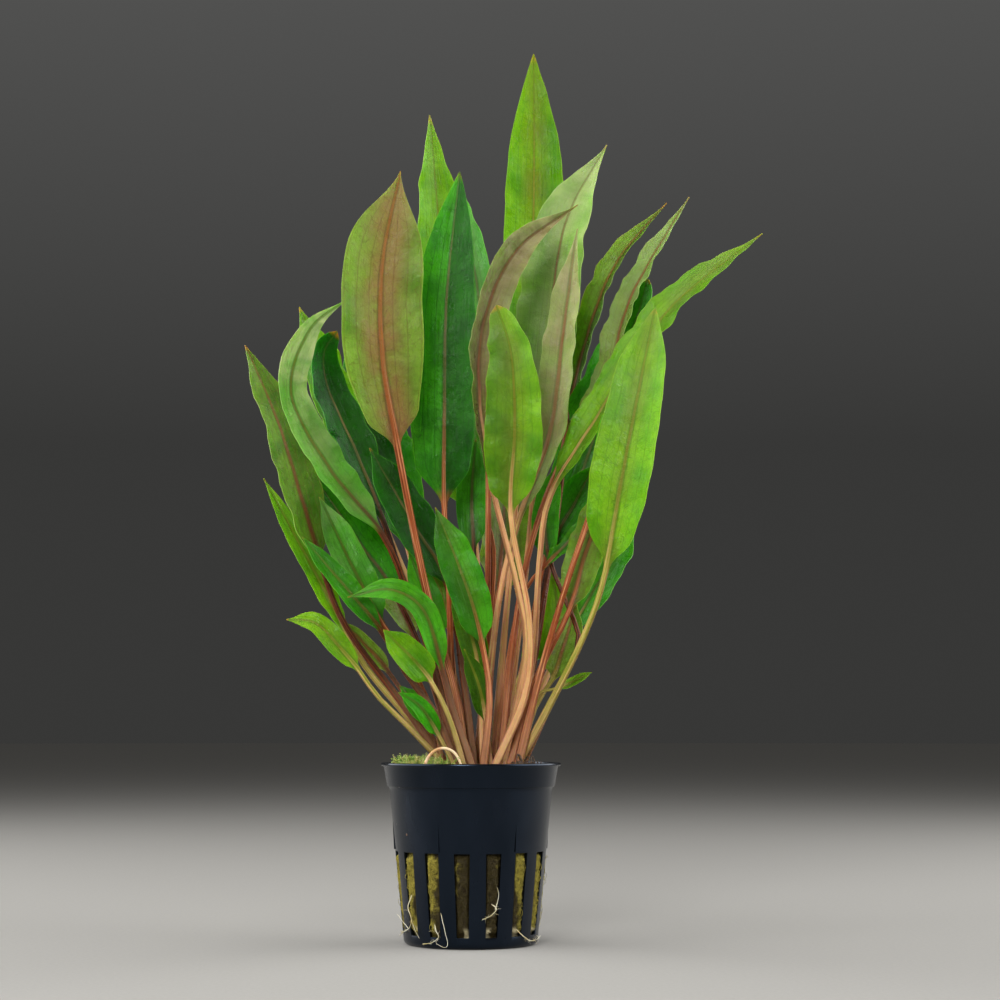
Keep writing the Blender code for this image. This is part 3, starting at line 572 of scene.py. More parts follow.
         ((22, 13, 77), (26, 16, 92), (23.5, 16, 107)), 10, -8, 12, LeafKind.BRIGHT, 1.6,
         tone=StalkTone.OLIVE, wave=0.5, tip=1),
    Leaf("leaf_yellow_low", (13.5, 2.5), ((19, 6, 66),),
         ((24, 9, 74), (27.5, 10, 84), (31, 10, 96)), 10, -18, 12, LeafKind.OLIVE, 1.6,
         tone=StalkTone.OLIVE, wave=0.4, tip=1),
    Leaf("leaf_small_right", (6.7, 7.5), ((11, 10, 65),),
         ((16, 14, 78), (21, 16, 85), (26, 16, 90)), 6, -10, 12, LeafKind.GREEN, 1.6,
         tone=StalkTone.OLIVE, wave=0.3),
    Leaf("leaf_thin_right", (15.9, 1.8), ((16, 3, 64), (20, 3, 70)),
         ((25.5, 3, 71.5), (30, 3, 73.5), (35, 2, 76)), 2.6, -10, 10, LeafKind.BRIGHT, 1.0,
         tone=StalkTone.OLIVE, wave=0.1),
    Leaf("leaf_inner_olive", (4.5, 0), ((4, 1, 85),),
         ((2, 2, 111), (1, 3, 126), (2, 3, 143)), 9, -5, 12, LeafKind.DEEP, 1.6,
         tone=StalkTone.DARK, wave=0.5),
    Leaf("leaf_inner_left", (1.8, -2.2), ((-4, -3, 71),),
         ((-8, -4, 85), (-12, -4, 97), (-17, -3, 110)), 8, 10, 12, LeafKind.GREEN, 1.6,
         wave=0.5),
    Leaf("leaf_inner_bright", (-0.5, 0), ((-3, 0, 71),),
         ((-5, 0, 88), (-8, 0, 99), (-14, 1, 111)), 7, 8, 12, LeafKind.BRIGHT, 1.6,
         tone=StalkTone.TAN, wave=0.4, painted_inner_shade=0.4),
    Leaf("leaf_inner_front", (4.2, -7), (),
         ((3, -9, 75), (0, -11, 89), (-4, -12, 101)), 8, 0, 12, LeafKind.BRIGHT, 1.6,
         tone=StalkTone.TAN, wave=0.4, painted_inner_shade=0.8),
    Leaf("leaf_low_dark", (-7, -4.4), (),
         ((-9, -8, 60), (-14, -10, 66), (-19, -11, 72)), 6, 10, 12, LeafKind.DEEP, 1.4,
         tone=StalkTone.DARK, wave=0.2),
    Leaf("leaf_inner_low", (6.5, -7), (),
         ((5, -10, 62), (3, -14, 72), (-1, -16, 82)), 6, 0, 12, LeafKind.BRIGHT, 1.4,
         tone=StalkTone.TAN, wave=0.2, painted_inner_shade=0.9),
    Leaf("leaf_back_left", (-2.8, 5), ((-11, 12, 85),),
         ((-18, 20, 112), (-27, 28, 145), (-38, 34, 178)), 19, 26, 12, LeafKind.GREEN,
         wave=0.9, blush=0.3, painted_inner_shade=0.7),
    Leaf("leaf_back_centre", (4.5, 7.5), ((3, 16, 95),),
         ((1, 24, 122), (-3, 32, 152), (-6, 36, 190)), 20, -14, 12, LeafKind.BRIGHT,
         tone=StalkTone.TAN, wave=0.9, painted_inner_shade=0.4),
    Leaf("leaf_back_right", (9, 7.5), ((18, 17, 88),),
         ((26, 24, 115), (37, 32, 146), (46, 36, 178)), 19, -28, 12, LeafKind.GREEN,
         wave=0.9, painted_inner_shade=0.6),
    Leaf("leaf_back_low_left", (-0.5, 7.5), ((-9, 15, 72),),
         ((-16, 22, 86), (-26, 31, 106), (-38, 37, 124)), 14, 34, 12, LeafKind.OLIVE,
         tone=StalkTone.DARK, wave=0.9, blush=0.4),
    Leaf("leaf_back_low_right", (11.2, 7.5), ((22, 16, 74),),
         ((29, 23, 87), (39, 31, 104), (50, 36, 121)), 14, -36, 12, LeafKind.GREEN,
         tone=StalkTone.TAN, wave=0.9, tip=1),
    Leaf("leaf_back_bronze", (2.2, 9.5), ((5, 20, 78),),
         ((8, 28, 98), (10, 38, 124), (11, 44, 152)), 16, 24, 14, LeafKind.BRONZE,
         wave=1.1, blush=0.7),
)


def blade_outline(share: np.ndarray, leaf: Leaf) -> np.ndarray:
    """Finds a blade's half width.

    Args:
        share: Places from neck (0) to tip (1).
        leaf: The leaf's sizes.

    Returns:
        Half widths as shares of the widest, which is at the belly.
    """
    share = np.clip(share, 0.0, 1.0)
    bend = math.log(0.5) / math.log(leaf.belly)
    power = OUTLINE_POWER + (leaf.base - OUTLINE_POWER) * (1 - step_between(0.0, BASE_END, share))
    power = power + leaf.point * step_between(POINT_START, 1.0, share)
    return np.maximum(np.sin(np.pi * share ** bend), 0.0) ** power


class LeafForm:
    """The rings of one leaf's solid, which the crowd of leaves spreads apart."""

    def __init__(self, leaf: Leaf) -> None:
        """Reads the rings' places along the leaf.

        Args:
            leaf: The leaf's sizes.
        """
        self.leaf = leaf
        places = [(*leaf.foot, CROWN_HEIGHT), *leaf.stalk, *leaf.blade]
        self.route = [(x + ROSETTE_SHIFT, y, z) for x, y, z in places]
        self.length = path_length(self.route)
        self.neck = path_length(self.route[:len(leaf.stalk) + 2]) / self.length
        rings = SMALL_RINGS if self.length < SMALL_LEAF else RINGS
        stalk_rings = rings // 3
        on_stalk = np.linspace(0, self.neck, stalk_rings, endpoint=False)
        on_blade = self.neck + (1 - self.neck) * np.linspace(0, 1, rings - stalk_rings) ** RING_SPREAD
        self.shares = np.concatenate([on_stalk, on_blade])
        self.blade_share = self.along_blade(self.shares)
        self.centres = smooth_path(self.route, self.shares)
        self.sideways, self.face = self.directions(self.centres, self.blade_share * 0)
        self.shift = np.zeros_like(self.centres)

    def along_blade(self, shares: np.ndarray) -> np.ndarray:
        """Turns shares of the whole leaf to shares of the blade, below 0 on the stalk."""
        return np.clip((shares - self.neck) / (1 - self.neck), -1, 1)

    def directions(self, centres: np.ndarray, turn: np.ndarray) -> tuple[np.ndarray, np.ndarray]:
        """Finds the sideways and facing directions along the leaf.

        Args:
            centres: Points along the midrib.
            turn: Twist about the midrib at each point, in radians.

        Returns:
            The sideways and the facing unit vectors.
        """
        angle = math.radians(self.leaf.faces)
        facing = np.array([math.sin(angle), -math.cos(angle), UPWARD])
        along = np.gradient(centres, axis=0)
        along /= np.linalg.norm(along, axis=1)[:, None]
        face = facing - along * (along @ facing)[:, None]
        face /= np.linalg.norm(face, axis=1)[:, None]
        side = np.cross(along, face)
        cosine, sine = np.cos(turn)[:, None], np.sin(turn)[:, None]
        return side * cosine + face * sine, face * cosine - side * sine

    def half_width(self, blade_share: np.ndarray) -> np.ndarray:
        """Half width of the solid.

        Args:
            blade_share: Places along the blade, below 0 on the stalk.

        Returns:
            Half widths in millimetres.
        """
        radius = self.leaf.stalk_diameter / 2
        blade = np.maximum(radius, self.leaf.width / 2 * blade_outline(blade_share, self.leaf))
        return np.where(blade_share <= 0, radius, np.where(blade_share >= 1, TIP_WIDTH / 2, blade))

    def ring(self, index: int) -> np.ndarray:
        """The eight corners of one ring of the solid.

        Args:
            index: The ring's number from the foot.

        Returns:
            Eight rows of x, y and z.
        """
        half = float(self.half_width(self.blade_share[index:index + 1])[0])
        flat = min(max(self.blade_share[index] / FLAT_FROM, 0.0), 1.0)
        fold = math.tan(math.radians(self.leaf.fold)) * flat
        corners = []
        for step, lens in enumerate(LENS):
            angle = step * math.tau / len(LENS)
            sideways = half * math.cos(angle)
            round_rise = self.leaf.stalk_diameter / 2 * math.sin(angle)
            rise = round_rise * (1 - flat) + SOLID_THICKNESS / 2 * lens * flat + fold * abs(sideways)
            corners.append(self.centres[index] + self.sideways[index] * sideways
                           + self.face[index] * rise)
        return np.array(corners)

    def samples(self) -> list[tuple[int, float, np.ndarray, float, bool]]:
        """Spreads points over the leaf's middle surface.

        Returns:
            Ring number, share to the next ring, place, half thickness and whether it is blade.
        """
        rows = []
        for index in range(len(self.centres) - 1):
            length = np.linalg.norm(self.centres[index + 1] - self.centres[index])
            steps = max(1, int(length / SAMPLE_STEP))
            low, high = self.ring(index), self.ring(index + 1)
            on_blade = bool(self.blade_share[index + 1] > 0.02)
            columns = (4, 3.5, 3, 2.5, 2, 1.5, 1, 0.5, 0) if on_blade else (2,)
            thick = SOLID_THICKNESS / 2 if on_blade else self.leaf.stalk_diameter / 2
            for step in range(steps):
                share = (step + 0.5) / steps
                for column in columns:
                    point = (1 - share) * read_across(low, column) + share * read_across(high, column)
                    rows.append((index, share, point, thick, on_blade))
        return rows


def read_across(ring: np.ndarray, column: float) -> np.ndarray:
    """Reads a point on the middle surface of a ring.

    Args:
        ring: The ring's eight corners.
        column: Where to read it, from one edge (0) to the other (4).

    Returns:
        Its x, y and z.
    """
    middle = [ring[0], (ring[1] + ring[7]) / 2, (ring[2] + ring[6]) / 2, (ring[3] + ring[5]) / 2, ring[4]]
    low = int(min(column, 3))
    return middle[low] + (middle[low + 1] - middle[low]) * (column - low)


class Crowd:
    """All leaves together, as samples on their middle surfaces that push each other apart.

    Blades move only towards the front or back, and where a blade passes another leaf, the one
    that is in front stays in front. Stalks move sideways too. The feet stay where they are.
    """

    def __init__(self, forms: list[LeafForm]) -> None:
        """Gathers the samples of all leaves.

        Args:
            forms: The leaves' forms.
        """
        self.forms = forms
        rows = [(number, *row) for number, form in enumerate(forms) for row in form.samples()]
        self.owner, ring, self.share, self.point, self.thick, self.blade = map(np.array, zip(*rows))
        self.first = np.concatenate([[0], np.cumsum([len(form.centres) for form in forms])])
        self.low = self.first[self.owner] + ring
        self.shift = np.zeros((self.first[-1], 3))
        self.stalks = np.flatnonzero(~self.blade)
        self.find_pairs()

    def find_pairs(self) -> None:
        """Pairs of samples of two leaves, a blade among them, that cover each other from the front."""
        flat = self.point[:, [0, 2]]
        firsts, seconds = [], []
        for index in range(len(flat) - 1):
            near = (np.abs(flat[index + 1:] - flat[index]) < SAMPLE_REACH).all(axis=1)
            near &= self.owner[index + 1:] != self.owner[index]
            near &= self.blade[index + 1:] | self.blade[index]
            found = np.flatnonzero(near) + index + 1
            firsts.append(np.full(len(found), index))
            seconds.append(found)
        self.a, self.b = np.concatenate(firsts), np.concatenate(seconds)
        # One number for each pair of leaves and for what meets there, blade or stalk
        meeting = (self.owner[self.a] * len(self.forms) + self.owner[self.b]) * 4
        meeting += self.blade[self.a] * 2 + self.blade[self.b]
        keys, meeting = np.unique(meeting, return_inverse=True)
        depth = self.point[self.b, 1] - self.point[self.a, 1]
        order = np.where(np.bincount(meeting, depth, len(keys)) < 0, -1.0, 1.0)
        self.order = order[meeting]
        self.need = self.thick[self.a] + self.thick[self.b] + CLEARANCE

    def spread(self) -> None:
        """Pushes until the leaves are clear, smoothing each leaf's bend in the early rounds."""
        for turn in range(SPREAD_ROUNDS):
            self.shift += (self.blade_moves() + self.stalk_moves()) * ROUND_SHARE
            if turn < EVENED_ROUNDS:
                for start, end in zip(self.first[:-1], self.first[1:]):
                    run = self.shift[start:end]
                    run[1:-1] += EVENING * (run[:-2] + run[2:] - 2 * run[1:-1])
            self.shift[self.first[:-1]] = 0.0
        for form, start, end in zip(self.forms, self.first[:-1], self.first[1:]):
            form.shift = self.shift[start:end]

    def places(self) -> np.ndarray:
        """Where the samples are now."""
        share = self.share[:, None]
        return self.point + self.shift[self.low] * (1 - share) + self.shift[self.low + 1] * share

    def blade_moves(self) -> np.ndarray:
        """Front and back moves that each ring needs, from the samples that sit too close.

        Returns:
            One row of x, y and z for each ring.
        """
        depth = self.places()[:, 1]
        lack = self.need - self.order * (depth[self.b] - depth[self.a])
        short = lack > 0
        back_push = np.zeros(len(depth))
        front_push = np.zeros(len(depth))
        for ends, sign in ((self.a, -self.order), (self.b, self.order)):
            back, front = short & (sign > 0), short & (sign < 0)
            np.maximum.at(back_push, ends[back], lack[back])
            np.maximum.at(front_push, ends[front], lack[front])
        move = np.zeros_like(self.shift)
        for push, sign in ((back_push, BLADE_PUSH), (front_push, -BLADE_PUSH)):
            most = np.zeros(len(self.shift))
            np.maximum.at(most, self.low, push * (1 - self.share))
            np.maximum.at(most, self.low + 1, push * self.share)
            move[:, 1] += sign * most
        return move

    def stalk_moves(self) -> np.ndarray:
        """Sideways moves that keep round stalks clear of each other.

        Returns:
            One row of x, y and z for each ring.
        """
        place = self.places()[self.stalks]
        thick, owner = self.thick[self.stalks], self.owner[self.stalks]
        gap = place[:, None, :] - place[None, :, :]
        distance = np.linalg.norm(gap, axis=2) + NOT_ZERO
        lack = thick[:, None] + thick[None, :] + CLEARANCE - distance
        lack[owner[:, None] == owner[None, :]] = 0.0
        push = (gap / distance[:, :, None] * np.maximum(lack, 0)[:, :, None]).sum(axis=1) * STALK_PUSH
        push[:, 2] = 0.0
        share = self.share[self.stalks][:, None]
        move = np.zeros_like(self.shift)
        np.add.at(move, self.low[self.stalks], push * (1 - share))
        np.add.at(move, self.low[self.stalks] + 1, push * share)
        return move


@dataclass(frozen=True)
class LeafTissue:
    """Living leaf of a water plant, grown, under a waxy cuticle.

    The cuticle gives a soft satin gloss that the quilting between the veins breaks up. The veins
    are sunken lines a quarter to half a millimetre wide and darker than the blade, and a red
    pigment shows in the rib, the stalk and the tip. The first colours are those of one kind of
    leaf: the blade's light and dark patches, its underside, the veins, the midrib, and the flush
    beside it. All kinds share the others: tints of painted shade over one half and over leaves
    that others cover, specks, the tip, painted sheen over plain and over flushed blade, and the
    stalk from dark to olive, at its foot, and its painted shade at its sides.
    """

    kind: LeafKind
    light: str
    dark: str
    underside: str
    vein: str
    rib: str
    flush: str
    roughness: float = 0.34
    gloss_range: float = 0.12
    # Tint of the painted shade over one half of a blade
    painted_half_shade: str = "#62804A"
    # Tint of the painted shade over leaves that others cover
    painted_inner_shade_tint: str = "#4E6A30"
    speck: str = "#2A3508"
    tip: str = "#B5611C"
    # Colours of the painted sheen, over plain and over flushed blade
    painted_sheen: str = "#90A868"
    painted_sheen_on_flush: str = "#9C8A6C"
    stalk_tones: tuple[str, ...] = ("#2A160A", "#663214", "#9A502A", "#D29C70", "#BEA460", "#84882C")
    stalk_foot: str = "#C99C78"
    # Colour of the painted shade at the stalk's sides
    painted_stalk_side_shade: str = "#5A2612"

    def material(self) -> bpy.types.Material:
        """Makes the leaf's material from the vectors stored on its mesh.

        Returns:
            The material.
        """
        finish, shader, node = new_finish(
            self.kind.value, IOR=1.42, Specular_IOR_Level=0.16, Subsurface_Weight=0.40,
            Subsurface_Radius=(0.0012, 0.0022, 0.0005), Subsurface_Scale=1.0)
        u, v, viewer_side = stored(node, "place")
        wide, along, _ = stored(node, "size")
        stalk_tone, tip_amount, seed = stored(node, "tone")
        flush_amount, shade_amount, rib_amount = stored(node, "tint")
        # The cover vector: amounts of painted sheen and of painted shade where other leaves cover the leaf
        painted_sheen_amount, inner_shade_amount, _ = stored(node, "cover")
        beside = node("Math", {0: u}, operation="ABSOLUTE")
        away = node("Math", {0: wide}, operation="ABSOLUTE")
        page = node("Math", {0: seed, 1: 40.0}, operation="MULTIPLY")
        # The leaf laid flat, in millimetres, each leaf on its own page of the noise
        sheet = node("CombineXYZ", {0: wide, 1: along, 2: page})

        # Patches of about 11 mm and a mottle of about 2 mm, where the green pigment is denser
        blotch = node("TexNoise", {"Vector": sheet, "Scale": 0.09, "Detail": 3.0})
        patch = node("MapRange", {0: blotch, 1: 0.38, 2: 0.66}, **SMOOTH)
        mottle = node("TexNoise", {"Vector": sheet, "Scale": 0.5, "Detail": 4.0, "Roughness": 0.6})
        fleck = node("MapRange", {0: mottle, 1: 0.45, 2: 0.72, 4: 0.5}, **SMOOTH)
        # Streaks along the blade, 0.7 mm wide, as the tissue grew
        grain = node("Mapping", {0: sheet, "Scale": (1.4, 0.07, 1.0)})
        streak = node("TexNoise", {"Vector": grain, "Scale": 1.0, "Detail": 4.0})
        drawn = node("MapRange", {0: streak, 1: 0.42, 2: 0.75, 4: 0.4})
        # Flush that reaches 3.5 to 9.5 mm from the rib, broken up
        reach = node("Math", {0: flush_amount, 1: 6.0, 2: 3.5}, operation="MULTIPLY_ADD")
        halo = node("MapRange", {0: away, 1: 0.3, 2: reach, 3: 1.0, 4: 0.0}, **SMOOTH)
        broken = node("MapRange", {0: blotch, 1: 0.35, 2: 0.6, 3: 0.5, 4: 1.3})
        flushed = node("Math", {0: halo, 1: flush_amount}, operation="MULTIPLY")
        flushed = node("Math", {0: flushed, 1: broken}, operation="MULTIPLY", use_clamp=True)
        behind = node("MapRange", {0: viewer_side, 3: 0.85, 4: 0.0})
        # Painted shade over one half: the right half where shade is above 0, the left one below
        half = node("Math", {0: u, 1: shade_amount}, operation="MULTIPLY")
        half = node("MapRange", {0: half, 1: 0.0, 2: 0.08}, **SMOOTH)
        depth = node("Math", {0: shade_amount}, operation="ABSOLUTE")
        half = node("Math", {0: half, 1: depth}, operation="MULTIPLY")

        # Veins: two arcs a side that run with the margin and one just inside it, slanting cross
        # veins some 2.5 mm apart that wander and fade, and a net of 1.2 mm between them
        wander = node("TexNoise", {"Vector": sheet, "Scale": 0.35, "Detail": 3.0}, "Color")
        swayed = node("Math", {0: wander, 1: 0.07, 2: beside}, operation="MULTIPLY_ADD")
        arcs = node("Math", {0: swayed, 1: 0.165}, operation="PINGPONG")
        line = node("MapRange", {0: arcs, 1: 0.0, 2: 0.032, 3: 0.45, 4: 0.0}, **SMOOTH)
        off_rib = node("MapRange", {0: beside, 1: 0.15, 2: 0.24})
        line = node("Math", {0: line, 1: off_rib}, operation="MULTIPLY")
        slope = node("Math", {0: away, 1: -0.8, 2: along}, operation="MULTIPLY_ADD")
        slanted = node("CombineXYZ", {0: wide, 1: slope, 2: page})
        warped = node("VectorMath", {0: wander, 1: (3.0, 3.0, 0.0), 2: slanted}, operation="MULTIPLY_ADD")
        stretched = node("VectorMath", {0: warped, 1: (0.22, 0.40, 1.0)}, operation="MULTIPLY")
        cross = node("TexVoronoi", {"Vector": stretched, "Scale": 1.0}, feature="DISTANCE_TO_EDGE")
        cross = node("MapRange", {0: cross, 1: 0.0, 2: 0.05, 3: 0.5, 4: 0.0}, **SMOOTH)
        fading = node("MapRange", {0: mottle, 1: 0.4, 2: 0.6, 3: 0.15, 4: 1.0})
        cross = node("Math", {0: cross, 1: fading}, operation="MULTIPLY")
        net = node("TexVoronoi", {"Vector": warped, "Scale": 0.8}, feature="DISTANCE_TO_EDGE")
        net = node("MapRange", {0: net, 1: 0.0, 2: 0.10, 3: 0.20, 4: 0.0})
        veins = node("Math", {0: line, 1: cross}, operation="MAXIMUM")
        veins = node("Math", {0: veins, 1: net}, operation="MAXIMUM")
        on_blade = node("MapRange", {0: v, 1: 0.0, 2: 0.06})
        veins = node("Math", {0: veins, 1: on_blade}, operation="MULTIPLY")

        # Dark specks of 0.4 mm in the denser patches, a paler margin and an orange tip
        specks = node("TexVoronoi", {"Vector": sheet, "Scale": 0.25})
        specks = node("MapRange", {0: specks, 1: 0.03, 2: 0.07, 3: 0.7, 4: 0.0})
        speckled = node("MapRange", {0: blotch, 1: 0.52, 2: 0.6})
        specks = node("Math", {0: specks, 1: speckled}, operation="MULTIPLY")
        margin = node("MapRange", {0: beside, 1: 0.96, 2: 1.0, 4: 0.4})
        ragged = node("Math", {0: mottle, 1: 0.03, 2: v}, operation="MULTIPLY_ADD")
        tip = node("MapRange", {0: ragged, 1: 0.98, 2: 1.008}, **SMOOTH)
        tip = node("Math", {0: tip, 1: tip_amount}, operation="MULTIPLY")

        # Painted sheen: pale films of some 9 mm, thicker to the tip, with the green showing between them
        film = node("TexNoise", {"Vector": sheet, "Scale": 0.11, "Detail": 4.0, "Distortion": 0.5})
        painted_sheen_share = node("MapRange", {0: film, 1: 0.36, 2: 0.64, 3: 0.4, 4: 1.05}, **SMOOTH)
        painted_sheen_share = node("Math", {0: painted_sheen_share, 1: painted_sheen_amount}, operation="MULTIPLY")
        to_tip = node("MapRange", {0: v, 1: 0.25, 2: 0.85, 3: 0.25, 4: 1.4})
        painted_sheen_share = node("Math", {0: painted_sheen_share, 1: to_tip}, operation="MULTIPLY", use_clamp=True)
        painted_sheen = node("Mix", {0: flush_amount, 6: self.painted_sheen, 7: self.painted_sheen_on_flush}, **COLOUR_MIX)

        # Midrib, tapering to the tip, with a dark line on each side and streaks along it
        rib_width = node("Math", {0: v, 1: -0.62, 2: 0.90}, operation="MULTIPLY_ADD")
        stout = node("Math", {0: rib_amount, 1: 1.1, 2: 0.35}, operation="MULTIPLY_ADD")
        rib_width = node("Math", {0: rib_width, 1: stout}, operation="MULTIPLY")
        rib = node("Math", {0: away, 1: rib_width}, operation="DIVIDE")
        rib_line = node("MapRange", {0: rib, 1: 1.0, 2: 2.0, 3: 0.55, 4: 0.0}, **SMOOTH)
        rib_line = node("Math", {0: rib_line, 1: on_blade}, operation="MULTIPLY")
        rib = node("MapRange", {0: rib, 1: 0.55, 2: 1.05, 3: 0.9, 4: 0.0}, **SMOOTH)
        fading = node("MapRange", {0: v, 1: 0.6, 2: 1.0, 3: 1.0, 4: 0.3})
        rib = node("Math", {0: rib, 1: fading}, operation="MULTIPLY")
        fine_grain = node("Mapping", {0: sheet, "Scale": (3.6, 0.05, 1.0)})
        fibre = node("TexNoise", {"Vector": fine_grain, "Scale": 1.0, "Detail": 3.0})
        streaked = node("MapRange", {0: fibre, 1: 0.4, 2: 0.7})
        rib_colour = node("Mix", {0: streaked, 6: self.rib, 7: self.flush}, **COLOUR_MIX)
        ruddy = node("Math", {0: flush_amount, 1: 0.35})
        rib_colour = node("Mix", {0: ruddy, 6: self.vein, 7: rib_colour}, **COLOUR_MIX)

        # Stalk: its tone on the ramp, streaked along, paler at the foot that grew without light,
        # with painted shade that darkens both sides
        shift = node("MapRange", {0: fibre, 1: 0.3, 2: 0.7, 3: -0.2, 4: 0.2})
        place = node("Math", {0: stalk_tone, 1: shift})
        tones = zip(np.linspace(0, 1, len(self.stalk_tones)), self.stalk_tones)
        stalk = node("ValToRGB", {0: place}, stops=list(tones))
        foot = node("Math", {0: fibre, 1: 16.0, 2: along}, operation="MULTIPLY_ADD")
        foot = node("MapRange", {0: foot, 1: 12.0, 2: 44.0, 3: 0.45, 4: 0.0})
        stalk = node("Mix", {0: foot, 6: stalk, 7: self.stalk_foot}, **COLOUR_MIX)
        painted_side_shade = node("MapRange", {0: beside, 1: 0.4, 2: 0.85, 4: 0.6}, **SMOOTH)
        stalk = node("Mix", {0: painted_side_shade, 6: stalk, 7: self.painted_stalk_side_shade}, **COLOUR_MIX)
        bare = node("MapRange", {0: v, 1: 0.0, 2: 0.06, 3: 1.0, 4: 0.0}, **SMOOTH)
        low_rib = node("MapRange", {0: v, 1: 0.0, 2: 0.35, 3: 1.0, 4: 0.0})
        low_rib = node("Math", {0: low_rib, 1: rib}, operation="MULTIPLY")
        bare = node("Math", {0: bare, 1: low_rib}, operation="MAXIMUM")

        # The colours one over the other, each with its share
        colour = self.light
        for share, over, blend in (
                (patch, self.dark, "MIX"), (fleck, self.dark, "MIX"), (drawn, self.light, "MIX"),
                (flushed, self.flush, "MIX"), (behind, self.underside, "MIX"),
                (half, self.painted_half_shade, "MULTIPLY"), (inner_shade_amount, self.painted_inner_shade_tint, "MULTIPLY"),
                (veins, self.vein, "MIX"), (specks, self.speck, "MIX"), (margin, self.light, "MIX"),
                (tip, self.tip, "MIX"), (painted_sheen_share, painted_sheen, "MIX"), (rib_line, self.vein, "MIX"),
                (rib, rib_colour, "MIX"), (bare, stalk, "MIX")):
            colour = node("Mix", {0: share, 6: colour, 7: over}, **COLOUR_MIX, blend_type=blend)

        # Wax that is glossier in patches of 4 mm
        gloss = node("TexNoise", {"Vector": sheet, "Scale": 0.26, "Detail": 3.0})
        rough = node("MapRange", {0: gloss, 1: 0.35, 2: 0.65, 3: self.roughness - self.gloss_range,
                                  4: self.roughness + self.gloss_range})
        # Relief in millimetres: swells, quilting of 0.1 mm, sunken veins, streaks, skin, ridges
        skin = node("TexNoise", {"Vector": sheet, "Scale": 2.6, "Detail": 3.0})
        ridges = node("Math", {0: fibre, 1: bare}, operation="MULTIPLY")
        relief = node("Math", {0: blotch, 1: 1.6}, operation="MULTIPLY")
        for form, height in ((mottle, 0.40), (veins, -0.12), (streak, 0.25), (skin, 0.05), (ridges, 0.15)):
            relief = node("Math", {0: form, 1: height, 2: relief}, operation="MULTIPLY_ADD")
        bump = node("Bump", {"Height": relief, "Strength": 0.7, "Distance": MM})
        dress(shader, colour, rough, bump)
        return finish


